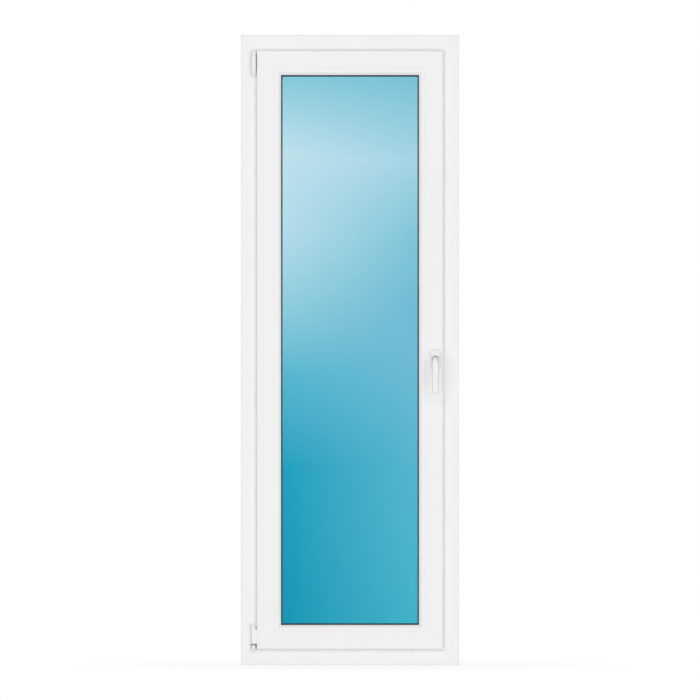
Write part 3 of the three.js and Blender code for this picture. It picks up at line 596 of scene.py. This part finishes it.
SEAT = 2.6  # depth of the face plates' seat in the groove
SASH_SECTION = [
    rounded(
        [
            (SASH_EDGE, SASH_FACE, 1.6),
            (GLAZING_BASE - 0.05, SASH_FACE, 0.25),
            (GLAZING_BASE - 0.05, SASH_FACE + 6),
            (GLAZING_BASE, SASH_FACE + 8),
            (GLAZING_BASE, SASH_BACK - 11),
            (SIGHT, SASH_BACK - 11, 1.2),
            (SIGHT, SASH_BACK - 2, 1.6),
            (SIGHT - 6, SASH_BACK, 4),
            (GROOVE_SIDE, SASH_BACK, 2.2),
            (GROOVE_SIDE, GROOVE_Y + 8.2, 0.3),
            (GROOVE_SIDE + SEAT, GROOVE_Y + 8.2),
            (GROOVE_SIDE + SEAT, GROOVE_Y + 6),
            (GROOVE_SIDE + 13, GROOVE_Y + 6),
            (GROOVE_SIDE + 13, GROOVE_Y - 6),
            (GROOVE_SIDE + SEAT, GROOVE_Y - 6),
            (GROOVE_SIDE + SEAT, GROOVE_Y - 8.2),
            (GROOVE_SIDE, GROOVE_Y - 8.2, 0.3),
            (GROOVE_SIDE, LIP_BACK, 1.0),
            (SASH_EDGE, LIP_BACK, 1.8),
        ]
    ),
    chamber(SASH_EDGE + WALL + 1, SASH_EDGE + 36, SASH_FACE + WALL, LIP_BACK - WALL),
    chamber(SASH_EDGE + 36 + WEB, GLAZING_BASE - 3.1, SASH_FACE + WALL, -33),
    chamber(SASH_EDGE + 38 + WEB, GLAZING_BASE - WALL, -33 + WEB, -1),  # for the steel
    chamber(SASH_EDGE + 16, SASH_EDGE + 38, -13.6, -1),
    chamber(SASH_EDGE + 16, SASH_EDGE + 34, -1 + WEB, SASH_BACK - WALL),
    chamber(SASH_EDGE + 34 + WEB, GLAZING_BASE - WALL, -1 + WEB, SASH_BACK - WALL),
    chamber(GLAZING_BASE, SIGHT - WALL, SASH_BACK - 8.2, SASH_BACK - WALL),
]

BEAD_FACE = SASH_FACE + 0.1
BEAD_SECTION = [
    rounded(
        [
            (GLAZING_BASE + 0.05, BEAD_FACE, 0.25),
            (SIGHT - 8.5, BEAD_FACE, 6),
            (SIGHT, BEAD_FACE + 6.5, 1.6),
            (SIGHT, BEAD_BACK - 0.1),
            (GLAZING_BASE + 0.3, BEAD_BACK - 0.1),
            (GLAZING_BASE + 0.3, BEAD_FACE + 8),
        ],
        8,
    ),
    rounded(
        [
            (GLAZING_BASE + 2.4, BEAD_FACE + 2.2, 0.6),
            (SIGHT - 9.4, BEAD_FACE + 2.4, 1),
            (SIGHT - 2.2, BEAD_FACE + 8, 0.6),
            (SIGHT - 2.2, BEAD_BACK - 2.2, 0.6),
            (GLAZING_BASE + 2.4, BEAD_BACK - 2.2, 0.6),
        ],
        2,
    ),
]

FRAME_SIDES = {"left": "hinge_jamb", "right": "lock_jamb", "top": "head", "bottom": "sill"}
SASH_SIDES = {"left": "hinge_stile", "right": "lock_stile", "top": "top_rail", "bottom": "bottom_rail"}
SIDES = {"left": "hinge_side", "right": "lock_side", "top": "top", "bottom": "bottom"}

members = {}
for side, name in SIDES.items():
    frame_name, sash_name = f"frame_{FRAME_SIDES[side]}", f"sash_{SASH_SIDES[side]}"
    members[frame_name] = member(frame_name, FRAME_SECTION, side, "frame")
    members[sash_name] = member(sash_name, SASH_SECTION, side, "sash")
    member(f"glazing_bead_{name}", BEAD_SECTION, side, "sash", f"visual_bead_{name}")

# Drain slots in the sill, 32 by 6, behind their caps.
DRAIN_CAPS = ("drain_cap_hinge_side", "drain_cap_lock_side")
slots = []
for cap in DRAIN_CAPS:
    x, z = middle(cap, X), middle(cap, Z)
    slot = rounded(rectangle(x - 16, x + 16, z - 3, z + 3, 2.9))
    slots.append(cutter(slot, FRAME_BACK - 5, FRAME_BACK + 5))
carve(members["frame_sill"], *slots)

# Room for the gearbox, its spindle and the handle's screws in the lock stile.
PLAY = 0.3
SPINDLE_HOLE, SCREW_BORE = 6, 2.8  # radii
case_room = rectangle(
    low("gearbox_case", X) - PLAY,
    RIGHT - GROOVE_SIDE + 1,
    low("gearbox_case", Z) - PLAY,
    high("gearbox_case", Z) + PLAY,
)
holes = [((HANDLE_X, HANDLE_Z), SPINDLE_HOLE)]
for screw in ("handle_screw_upper", "handle_screw_lower"):
    holes.append(((HANDLE_X, middle(screw, Z)), SCREW_BORE))
carve(
    members["sash_lock_stile"],
    cutter(rounded(case_room), GROOVE_Y - 6, GROOVE_Y + 6),
    *[cutter(disc(center, radius, 32), SASH_FACE - 1, GROOVE_Y) for center, radius in holes],
)


def seal(node, section, path, body, closed=True):
    """A rubber profile along a path. The section is (further inset, depth); a path point is
    (x, z, how x moves with the inset, how z moves with it)."""
    rings = [
        [(x + dx * inset, depth, z + dz * inset) for inset, depth in section] for x, z, dx, dz in path
    ]
    Build().loft(rings, closed).done(node, body, RUBBER, "rubber", sharp=50)


def round_the_opening(inset):
    return [
        (LEFT + inset, FOOT + inset, 1, 1),
        (RIGHT - inset, FOOT + inset, -1, 1),
        (RIGHT - inset, HEAD - inset, -1, -1),
        (LEFT + inset, HEAD - inset, 1, -1),
    ]


def glazing_seal(glass, outer):
    """A foot between glass and plastic, and a lip that slopes down to the glass. glass is the depth
    of the glass's face, outer that of the plastic."""
    way = (glass - outer) / abs(glass - outer)
    return rounded(
        [
            (0, outer, 0.3),
            (9, outer, 0.3),
            (10.2, outer - way * 1.1, 0.8),
            (12.2, outer - way * 0.6, 0.9),
            (13.4, glass, 0.2),
            (7, glass, 0.2),
            (6.2, glass - way * 0.8, 0.3),
            (4.4, glass - way * 0.8, 0.3),
            (3.6, glass, 0.2),
            (0, glass, 0.3),
        ],
        3,
    )


glass_edge = round_the_opening(SIGHT - 9)
room_glass = high("glazing_seal_room", Y) - 0.02
outdoor_glass = low("glazing_seal_outdoor", Y) + 0.02
seal("glazing_seal_room", glazing_seal(room_glass, BEAD_BACK), glass_edge, "sash")
seal(
    "glazing_seal_outdoor",
    glazing_seal(outdoor_glass, high("glazing_seal_outdoor", Y)),
    glass_edge,
    "sash",
)

# Frame seal: a foot on the stop and a bulb that the sash presses.
bulb_tip = low("frame_seal", Y)
seal(
    "frame_seal",
    rounded(
        [
            (0, STOP_FACE - 0.2, 0.2),
            (0.4, STOP_FACE - 1.3, 0.5),
            (1.6, STOP_FACE - 1.5, 0.4),
            (2.4, bulb_tip + 0.7, 0.8),
            (4.4, bulb_tip, 0.9),
            (6.4, bulb_tip + 0.9, 0.9),
            (6.2, STOP_FACE - 1.4, 0.5),
            (7, STOP_FACE - 0.2, 0.2),
        ],
        3,
    ),
    round_the_opening(low("frame_seal", X) - LEFT),
    "frame",
)

# Lip seal: a foot in the lip and a fin. It stops where the hinge plates pass.
lip_front = low("sash_seal", Y)
lip_tip = high("sash_seal", Y)
LIP_SEAL = rounded(
    [
        (0, lip_front, 0.1),
        (4, lip_front, 0.1),
        (4, lip_front + 0.7, 0.2),
        (2.6, lip_front + 0.8, 0.2),
        (0.9, lip_tip, 0.25),
        (0.2, lip_tip - 0.3, 0.2),
        (1.1, lip_front + 0.7, 0.2),
        (0, lip_front + 0.6, 0.1),
    ],
    2,
)
PAST_THE_HINGE = 62  # where the lower stretch of the lip seal starts, from the frame's edge
(seal_left, seal_foot, _, _), lower_right, upper_right, (_, seal_head, _, _) = round_the_opening(
    low("sash_seal", X) - LEFT
)
seal(
    "sash_seal",
    LIP_SEAL,
    [(LEFT + PAST_THE_HINGE, seal_foot, 0, 1), lower_right, upper_right, (seal_left, seal_head, 0, -1)],
    "sash",
    closed=False,
)
seal(
    "sash_seal_hinge_side",
    LIP_SEAL,
    [
        (seal_left, low("sash_seal_hinge_side", Z), 1, 0),
        (seal_left, high("sash_seal_hinge_side", Z), 1, 0),
    ],
    "sash",
    closed=False,
)


# ------------------------------------------------------------------ handle


ROUND = 48  # points round the lever and the hinge parts
LONG_SIDE = 4.5  # a straight stretch longer than this gets points along it


def plate_ring(width, height, corner, depth, shrink=0.0):
    """A rounded rectangle round the handle's axis, at a distance from the sash's face."""
    r = max(corner - shrink, 0.5)
    w, h = width / 2 - shrink - r, height / 2 - shrink - r
    ring = []
    for center, start in (((w, h), 0), ((-w, h), 90), ((-w, -h), 180), ((w, -h), 270)):
        ring += arc(center, r, start, start + 90, 8)
    dense = []
    for here, there in zip(ring, ring[1:] + ring[:1]):
        parts = 10 if math.dist(here, there) > LONG_SIDE else 1
        for k in range(parts):
            t = k / parts
            dense.append((here[0] + (there[0] - here[0]) * t, here[1] + (there[1] - here[1]) * t))
    return [(HANDLE_X + a, SASH_FACE - depth, HANDLE_Z + b) for a, b in dense]


def matching_circle(radius, depth, ring):
    """A circle with a point in the direction of each point of a ring round the handle's axis."""
    points = []
    for x, _, z in ring:
        angle = math.atan2(z - HANDLE_Z, x - HANDLE_X)
        points.append(
            (HANDLE_X + radius * math.cos(angle), SASH_FACE - depth, HANDLE_Z + radius * math.sin(angle))
        )
    return points


ROSETTE = (  # width, height, corner radius
    high("handle_rosette", X) - low("handle_rosette", X),
    high("handle_rosette", Z) - low("handle_rosette", Z),
    11.5,
)
ROSETTE_TOP = SASH_FACE - low("handle_rosette", Y)


def rosette():
    """A cover plate, hollow behind, that rises a little towards the hole for the lever's neck."""
    fillet = 2.6
    rings = [plate_ring(*ROSETTE, 0.3, 0.2), plate_ring(*ROSETTE, 0.9)]
    for i in range(6):
        t = math.radians(90 * i / 5)
        depth = ROSETTE_TOP - 0.6 - fillet + fillet * math.sin(t)
        rings.append(plate_ring(*ROSETTE, depth, fillet * (1 - math.cos(t))))
    rings.append(plate_ring(*ROSETTE, ROSETTE_TOP - 0.25, 5))
    for radius, below in ((13, 0), (12.2, 0), (11.7, 0.4), (11.6, 2)):
        rings.append(matching_circle(radius, ROSETTE_TOP - below, rings[0]))
    rings.append(plate_ring(*ROSETTE, ROSETTE_TOP - 2.4, 2.4))
    rings.append(plate_ring(*ROSETTE, 0.3, 2.0))
    return Build().loft(rings, close=True)


rosette().done("handle_rosette", "sash", COVER, "white_cover")


def lever_ring(center, out, half_width, half_thick, power):
    """One section of the lever: a superellipse between round (power 2) and square."""
    across = Vector((1, 0, 0))
    ring = []
    for i in range(ROUND):
        t = 2 * math.pi * i / ROUND
        c, s = math.cos(t), math.sin(t)
        a = half_width * math.copysign(abs(c) ** (2 / power), c)
        b = half_thick * math.copysign(abs(s) ** (2 / power), s)
        ring.append(tuple(center + across * a + out * b))
    return ring


def lever():
    """A round neck out of the rosette, a bend, and a flat grip that hangs down."""
    neck = 9.5  # radius
    thick = 6.5  # half of the grip's thickness
    grip = SASH_FACE - LEVER_FRONT - thick  # the grip's middle, from the sash
    bend = 13.0  # radius of the bend
    axis = Vector((HANDLE_X, SASH_FACE, HANDLE_Z))

    def at(out, down):
        return axis + Vector((0, -out, -down))

    rings = []
    for out, less in ((6.0, 0.5), (6.4, 0), (12, 0), (20, 0.1), (grip - bend - 1.5, 0.1)):
        rings.append(lever_ring(at(out, 0), Vector((0, 0, 1)), neck - less, neck - less, 2.0))
    steps = 14
    for i in range(steps + 1):
        t = i / steps
        angle = math.radians(90 * t)
        center = at(grip - bend + bend * math.sin(angle), bend - bend * math.cos(angle))
        outward = Vector((0, -math.sin(angle), math.cos(angle)))
        half = neck - 0.1 + (thick - neck + 0.1) * (t * t * (3 - 2 * t))
        rings.append(lever_ring(center, outward, neck + 0.2 * t, half, 2 + 0.3 * t))
    end = HANDLE_Z - LEVER_END
    outward = Vector((0, -1, 0))
    # From the bend to the end: how far below the axis, half the width, and how square.
    narrow, square = 9.35, 4.6
    grip_shape = [(18, 9.95, 2.4), (24, 10, 2.7), (31, 9.95, 3.2), (39, 9.85, 3.8), (48, 9.75, 4.2)]
    grip_shape += [(60, 9.65, square), (75, 9.55, square), (90, 9.45, square), (end - 4, narrow, square)]
    for down, width, power in grip_shape:
        rings.append(lever_ring(at(grip, down), outward, width, thick, power))
    for i in range(1, 7):
        t = math.radians(90 * i / 6)
        down = end - 4 + 4 * math.sin(t)
        inset = 3.2 * (1 - math.cos(t))
        rings.append(lever_ring(at(grip, down), outward, narrow - inset, thick - inset, square))
    return Build().loft(rings)


lever().done("handle_lever", "handle", PAINT, "white_paint", sharp=40)


# ------------------------------------------------------------------ hinges

COVER_RADIUS = 8.2  # of both hinge covers, and of the stay pin's head
COVER_BORE = 6.45  # radius


def hinge_point(radius, angle, z):
    return (
        HINGE_X + radius * math.cos(math.radians(angle)),
        HINGE_Y + radius * math.sin(math.radians(angle)),
        z,
    )


def circle(radius, z):
    """A circle round the hinge axis. z is a height, or gives the height for each x from the axis."""
    ring = []
    for i in range(ROUND):
        x, y, _ = hinge_point(radius, 360 * i / ROUND, 0)
        ring.append((x, y, z(x - HINGE_X) if callable(z) else z))
    return ring


def shell_ring(outer, z):
    """A C-shaped section, open at the back for the hinge plate."""
    start, end, steps = 102, 376, 40
    ring = [hinge_point(outer, start + (end - start) * i / steps, z) for i in range(steps + 1)]
    ring += [hinge_point(COVER_BORE, end - (end - start) * i / steps, z) for i in range(steps + 1)]
    return ring


def shell(foot, top):
    """A hinge cover, its ends rounded."""
    edge = [(0, 0.7), (0.2, 0.3), (0.7, 0)]  # how far from the end, and how much less in radius
    rings = [(foot + into, less) for into, less in edge]
    rings += [(top - into, less) for into, less in reversed(edge)]
    return Build().loft([shell_ring(COVER_RADIUS - less, z) for z, less in rings])


def block(build, width, depth, height):
    """A plate or block with chamfered edges all round, from its spans along X, Y and Z."""
    (x0, x1), (y0, y1), (z0, z1) = width, depth, height
    edge = 0.35
    c = min(edge, (x1 - x0) / 4, (y1 - y0) / 4)
    rings = []
    for z, less in ((z0, edge), (z0 + edge, 0), (z1 - edge, 0), (z1, edge)):
        a0, a1, b0, b1 = x0 + less, x1 - less, y0 + less, y1 - less
        rings.append(
            [
                (a0 + c, b0, z), (a1 - c, b0, z), (a1, b0 + c, z), (a1, b1 - c, z),
                (a1 - c, b1, z), (a0 + c, b1, z), (a0, b1 - c, z), (a0, b0 + c, z),
            ]
        )
    return build.loft(rings)


stay_cover = shell(low("stay_cover", Z), high("stay_cover", Z))
stay_cover.done("stay_cover", "stay", COVER, "white_cover")

# The lower cover: a shell below, and a solid head with a slanting, rounded top.
cover_foot = low("corner_hinge_cover", Z)
cover_top = high("corner_hinge_cover", Z)
head_foot = high("corner_hinge", Z) + 0.4
slope = 26 / 24  # how steeply the lower cover's top falls towards the sash


def slant(drop):
    """The height of the slanting top, less a drop, for each x from the axis."""
    return lambda dx: cover_top - slope * (COVER_RADIUS + dx) - drop


head_rings = [circle(COVER_RADIUS, head_foot)]
for radius, drop in ((COVER_RADIUS, 1.5), (8.0, 0.8), (7.5, 0.25), (6.8, 0.0), (3.0, 0.0)):
    head_rings.append(circle(radius, slant(drop)))
lower_cover = shell(cover_foot, head_foot).loft(head_rings)

# A flange closes the gap to the sash's edge: cover and sash turn together.
flange_side = LEFT + SASH_EDGE - 0.3
flange_top = slant(0.0)(flange_side - 0.3 - HINGE_X)
block(
    lower_cover,
    (HINGE_X + 6, flange_side),
    (HINGE_Y - 5, HINGE_Y - 3),
    (cover_foot + 0.6, flange_top),
)
lower_cover.done("corner_hinge_cover", "sash", COVER, "white_cover")


def turned(profile):
    """A solid of revolution round the hinge axis, from (radius, z) pairs."""
    return Build().loft([circle(radius, z) for radius, z in profile])


pin_foot, pin_top = low("stay_pin", Z), high("stay_pin", Z)
pin_head = high("stay_cover", Z) + 0.4
stay_pin = turned(
    [
        (2.1, pin_foot),
        (2.5, pin_foot + 0.5),
        (2.5, pin_head),
        (7.4, pin_head),
        (COVER_RADIUS, pin_head + 0.7),
        (COVER_RADIUS, pin_top - 2.2),
        (7.9, pin_top - 1.2),
        (7.2, pin_top - 0.4),
        (6.2, pin_top),
        (1.0, pin_top),
    ]
)
stay_pin.done("stay_pin", "frame", PAINT, "white_paint")

# Stay bearing: a collar under the cover, its plate behind the lip and its tail down the rebate.
PLATE_FRONT = FRAME_FACE - 1.9
PLATE_BACK = FRAME_FACE - 0.3
collar_foot = pin_foot - 3
collar_top = high("stay_bearing", Z)
tail_side, tail_back = high("stay_bearing", X), high("stay_bearing", Y)
stay_bearing = turned(
    [
        (0.6, collar_foot),
        (5.0, collar_foot),
        (6.6, collar_foot + 0.3),
        (7.6, collar_foot + 1.2),
        (8.0, collar_foot + 2.4),
        (8.0, collar_top - 0.8),
        (7.2, collar_top),
        (2.85, collar_top - 0.3),
        (2.85, collar_foot + 2.2),
        (0.6, collar_foot + 2.0),
    ]
)
block(
    stay_bearing,
    (HINGE_X - 1, tail_side - 0.4),
    (PLATE_FRONT + 0.1, PLATE_BACK),
    (collar_foot + 0.1, collar_top - 0.1),
)
block(
    stay_bearing,
    (tail_side - 2.1, tail_side),
    (PLATE_FRONT, tail_back),
    (low("stay_bearing", Z), collar_top),
)
stay_bearing.done("stay_bearing", "frame", PAINT, "white_paint")


# ------------------------------------------------------------------ drain caps


def drain_cap(node):
    """A wind hood, open below: rounded ends, and a top that slopes back to the sill."""
    x0, x1 = low(node, X), high(node, X)
    z0, z1 = low(node, Z), high(node, Z)
    back, depth = low(node, Y), high(node, Y) - low(node, Y)
    wall, top = 1.0, z1 - 2
    steps = 16
    rings = []
    for i in range(steps + 1):
        t = i / steps
        lift = min(1.0, math.sin(math.pi * t) * 3.4) if 0 < t < 1 else 0.0
        out = back + depth * (0.4 + 0.6 * lift)
        inner = out - wall if 0.06 < t < 0.94 else back + 0.1
        shape = [
            (back, z1),
            (back + 0.4, z1 - 0.15),
            (back + (out - back) * 0.55, z1 - 1.6),
            (out - 0.35, z1 - 3.3),
            (out, z1 - 4.6),
            (out, z0 + 0.8),
            (out - 0.25, z0 + 0.15),
            (out - 0.6, z0),
            (inner, z0),
            (inner, z1 - 4.8),
            (back + (inner - back) * 0.6, top),
            (back, top + 0.4),
        ]
        rings.append([(x0 + (x1 - x0) * t, y, z) for y, z in shape])
    return Build().loft(rings)


for cap in DRAIN_CAPS:
    drain_cap(cap).done(cap, "frame", COVER, "white_cover")


# ------------------------------------------------------------------ face plates and keeps

CAM_TRAVEL = 23.6  # from locked to tilting
KEEP_BEHIND = 20  # from the locked cam to the near end of its keep
STAY_PIN_X = high("stay_arm", X) - 7
CROSS = [(0.35, 2.1), (0.35, 0.35), (2.1, 0.35)]  # a quarter of a screw's cross recess
SCREW_HOLE, SCREW_HEAD = 3.8, 3.6  # radii


class Strip(Build):
    """Flat parts on one side of the rectangle, drawn as (along the side, depth) and pushed inwards."""

    def __init__(self, side):
        super().__init__()
        self.side = side
        self.along = Z if side in ("left", "right") else X

    def at(self, along, depth, inset):
        if self.side == "left":
            return (LEFT + inset, depth, along)
        if self.side == "right":
            return (RIGHT - inset, depth, along)
        return (along, depth, FOOT + inset if self.side == "bottom" else HEAD - inset)

    def plate(self, loops, from_inset, to_inset):
        insets = (from_inset, to_inset)
        return self.prism(loops, lambda a, b, end: self.at(a, b, insets[end]))

    def screw(self, along, depth, head, foot):
        """A countersunk head with a cross recess. head and foot are insets."""
        cross = []
        for a, b in ((1, 1), (-1, 1), (-1, -1), (1, -1)):
            corner = [(along + a * x, depth + b * y) for x, y in CROSS]
            cross += corner if a * b < 0 else corner[::-1]
        deep = foot - head
        self.plate([disc((along, depth), SCREW_HEAD), cross], head, head + deep * 0.55)
        self.plate([disc((along, depth), SCREW_HEAD - 0.3)], head + deep * 0.5, foot)


def travel_of_cam(keep, side):
    """Where a cam is when locked, and how far it goes, along its side."""
    along = Z if side in ("left", "right") else X
    if side in ("right", "bottom"):
        return low(keep, along) + KEEP_BEHIND, CAM_TRAVEL
    return high(keep, along) - KEEP_BEHIND, -CAM_TRAVEL


KEEPS = {
    "right": ("keep_lock_side_lower", "keep_lock_side_middle", "keep_lock_side_upper"),
    "left": ("keep_hinge_side",),
    "top": ("keep_top",),
    "bottom": ("keep_bottom",),
}


def face_plate(side):
    """The plate over the groove, with a slot for each cam and a screw about every 300 mm."""
    node = f"face_plate_{SIDES[side]}"
    strip = Strip(side)
    start, end = low(node, strip.along), high(node, strip.along)
    slots = []  # from, to, half the width
    for keep in KEEPS[side]:
        place, travel = travel_of_cam(keep, side)
        slots.append((min(place, place + travel) - 3.5, max(place, place + travel) + 3.5, 3.5))
    if side == "top":
        slots.append((STAY_PIN_X - 34, STAY_PIN_X + 8, 4.5))
    count = max(2, round((end - start) / 300) + 1)
    screws = []
    for k in range(count):
        place = start + 9 + (end - start - 18) * k / (count - 1)
        for near, far, _ in slots:
            if near - 9 < place < far + 9:
                place = near - 9 if place < (near + far) / 2 else far + 9
        screws.append(place)
    loops = [rounded(rectangle(start, end, GROOVE_Y - 8, GROOVE_Y + 8, 3))]
    loops += [rounded(rectangle(a, b, GROOVE_Y - w, GROOVE_Y + w, w - 0.1)) for a, b, w in slots]
    loops += [disc((place, GROOVE_Y), SCREW_HOLE) for place in screws]
    strip.plate(loops, GROOVE_SIDE, GROOVE_SIDE + 2.4)
    for place in screws:
        strip.screw(place, GROOVE_Y, GROOVE_SIDE + 0.15, GROOVE_SIDE + 2.3)
    edged(strip.done(node, "sash", ZINC, "zinc"), 0.25)


def keep_plate(node, side):
    """A plate on the rebate, with the hook that stands before the locked cam."""
    strip = Strip(side)
    start, end = low(node, strip.along), high(node, strip.along)
    place, travel = travel_of_cam(node, side)
    way = math.copysign(1, travel)
    near, far = low(node, Y), high(node, Y)
    screws, screw_y = (start + 6, end - 6), GROOVE_Y + 2
    loops = [rounded(rectangle(start, end, near, far, 3.5))]
    loops += [disc((s, screw_y), SCREW_HOLE) for s in screws]
    strip.plate(loops, REBATE + 0.1, REBATE + 1.3)
    for s in screws:
        strip.screw(s, screw_y, REBATE + 1.2, REBATE + 0.15)
    a, b = place - way * 16, place + way * 5.5
    hook = [(a, 0.2), (b, 0.2), (b, 2.2, 0.8)]
    hook += [(b - way * 2.4, 3.4, 1.5), (a + way * 3, 3.4, 1.5), (a, 1.6, 0.8)]
    depths = (near + 0.02, near + 1.5)
    strip.prism([rounded(hook)], lambda s, up, end: strip.at(s, depths[end], REBATE + up))
    edged(strip.done(node, "frame", ZINC, "zinc"), 0.2)


for side in KEEPS:
    face_plate(side)
    for keep in KEEPS[side]:
        keep_plate(keep, side)


# ------------------------------------------------------------------ CAD nodes that keep their shape

# By the start of a node's name, and zinc for the rest.
FINISH = {
    "frame_steel": GALVANISED,
    "sash_steel": GALVANISED,
    "glass_pane_room": ROOM_GLASS,
    # the outdoor pane carries a painted reflection of the sky
    "glass_pane_outdoor": GLASS_WITH_PAINTED_SKY,
    "glass_spacer": SPACER,
    "setting_block": BLOCK,
    "corner_bearing": PAINT,
    "corner_pivot": PAINT,
    "tilt_pin": STEEL,
    "handle_screw": STEEL,
    "handle_spindle": STEEL,
    "drive_pinion": STEEL,
}
# Widths of the edges, and 0.3 for the rest.
CHAMFERS = {
    "glass_pane_room": 0.5,
    "glass_pane_outdoor": 0.5,
    "gearbox_case": 0.2,
    "drive_pinion": 0.12,
    "drive_rod_lock_side": 0.1,
}


def finish(node, thing):
    material = next((look for start, look in FINISH.items() if node.startswith(start)), ZINC)
    for k in range(len(thing.material_slots)):
        thing.material_slots[k].material = material
    weld = thing.modifiers.new("weld", "WELD")
    weld.merge_threshold = 1e-6
    edged(thing, CHAMFERS.get(node, 0.3))


for node, thing in nodes.items():
    if not thing.hide_render:
        finish(node, thing)


# ------------------------------------------------------------------ floor, lights and camera

FLOOR_REACH = 5.0  # metres
FADE_TO_WHITE = 1.1  # metres from the window's foot
WHITE_AT_FOOT = 0.86  # share of plain white already at the foot


def floor():
    """A pale studio floor that brightens to the white of the room within a few steps."""
    rings, count = 12, 64
    points = [(0.0, 0.0, 0.0)]
    faces = []
    for i in range(1, rings + 1):
        radius = FLOOR_REACH * (i / rings) ** 1.4
        for k in range(count):
            t = 2 * math.pi * k / count
            points.append((radius * math.cos(t), radius * math.sin(t), 0.0))
    for k in range(count):
        faces.append((0, 1 + k, 1 + (k + 1) % count))
    for i in range(rings - 1):
        a, b = 1 + i * count, 1 + (i + 1) * count
        for k in range(count):
            n = (k + 1) % count
            faces.append((a + k, b + k, b + n, a + n))
    mesh = bpy.data.meshes.new("studio_floor")
    below = Vector((0, 0, (FOOT - 0.5) * MM))
    mesh.from_pydata([Vector(p) + below for p in points], [], faces)
    mesh.shade_smooth()
    look = Look("pale_floor", grey(0.9), 0.7)
    look.vary_color(look.noise(6, detail=5), [(0.3, grey(0.89)), (0.7, grey(0.91))])
    distance = look.node("ShaderNodeVectorMath", operation="LENGTH")
    look.link(look.place, distance.inputs[0])
    fade = look.node("ShaderNodeMapRange", interpolation_type="SMOOTHSTEP")
    fade.inputs["From Min"].default_value = 0.0
    fade.inputs["From Max"].default_value = FADE_TO_WHITE
    fade.inputs["To Min"].default_value = WHITE_AT_FOOT
    look.link(distance.outputs["Value"], fade.inputs["Value"])
    white = look.node("ShaderNodeEmission")
    mix = look.node("ShaderNodeMixShader")
    look.link(fade.outputs["Result"], mix.inputs["Fac"])
    look.link(look.shader.outputs["BSDF"], mix.inputs[1])
    look.link(white.outputs["Emission"], mix.inputs[2])
    look.link(mix.outputs["Shader"], look.output.inputs["Surface"])
    mesh.materials.append(look.material)
    thing = bpy.data.objects.new("studio_floor", mesh)
    thing.visible_shadow = False
    thing.visible_diffuse = False
    thing.visible_glossy = False
    bpy.context.scene.collection.objects.link(thing)


def world(seen, ambient, gloss):
    """White where the camera looks, straight or through glass, and softer as a light."""
    studio = bpy.data.worlds.new("studio")
    bpy.context.scene.world = studio
    studio.use_nodes = True
    tree = studio.node_tree
    link = tree.links.new
    shade = tree.nodes["Background"]
    shade.inputs["Color"].default_value = (1, 1, 1, 1)
    path = tree.nodes.new("ShaderNodeLightPath")
    direct = tree.nodes.new("ShaderNodeMath")
    direct.operation = "MAXIMUM"
    link(path.outputs["Is Camera Ray"], direct.inputs[0])
    link(path.outputs["Is Transmission Ray"], direct.inputs[1])
    light = tree.nodes.new("ShaderNodeMapRange")
    light.inputs["To Min"].default_value = ambient
    light.inputs["To Max"].default_value = gloss
    link(path.outputs["Is Glossy Ray"], light.inputs["Value"])
    strength = tree.nodes.new("ShaderNodeMix")
    link(direct.outputs[0], strength.inputs["Factor"])
    link(light.outputs["Result"], strength.inputs["A"])
    strength.inputs["B"].default_value = seen
    link(strength.outputs["Result"], shade.inputs["Strength"])


def sun(name, toward, strength, softness, mirrored=True):
    """A broad, distant softbox. toward is where it stands, as seen from the window, and softness
    is its width in degrees. It shows in glass and gloss only if mirrored."""
    data = bpy.data.lights.new(name, "SUN")
    data.energy = strength
    data.angle = math.radians(softness)
    lamp = bpy.data.objects.new(name, data)
    lamp.rotation_euler = Vector(toward).to_track_quat("Z", "Y").to_euler()
    lamp.visible_glossy = mirrored
    lamp.visible_transmission = mirrored
    bpy.context.scene.collection.objects.link(lamp)


floor()
world(seen=1.0, ambient=0.27, gloss=0.4)
sun("softbox_front", (0, -1, 0), 0.68, 10, mirrored=False)
RING = 12  # softboxes in a ring round the view, which shade the steps between frame, sash and glass
TILT = math.tan(math.radians(34))
for i in range(RING):
    way = math.radians(360 * (i + 0.5) / RING)
    toward = (TILT * math.cos(way), -1, TILT * math.sin(way))
    sun(f"softbox_ring_{i}", toward, 0.167, 14, mirrored=math.sin(way) > 0.5)
sun("softbox_behind_left", (-0.6, 1, 0.3), 1.1, 25)
sun("softbox_behind_right", (0.6, 1, 0.3), 1.1, 25)

DISTANCE = 40.0  # metres from the frame's face, so that the view is nearly parallel
FILL = 0.9  # the frame's height as a share of the picture's
SENSOR = 36
camera_data = bpy.data.cameras.new("front_camera")
camera_data.sensor_width = SENSOR
camera_data.lens = SENSOR * FILL * DISTANCE / ((HEAD - FOOT) * MM)
camera_data.clip_end = 5 * DISTANCE
camera = bpy.data.objects.new("front_camera", camera_data)
camera.location = ((LEFT + RIGHT) / 2 * MM, FRAME_FACE * MM - DISTANCE, (FOOT + HEAD) / 2 * MM)
camera.rotation_euler = (math.pi / 2, 0, 0)
bpy.context.scene.collection.objects.link(camera)
bpy.context.scene.camera = camera
bpy.context.scene.view_settings.view_transform = "Standard"
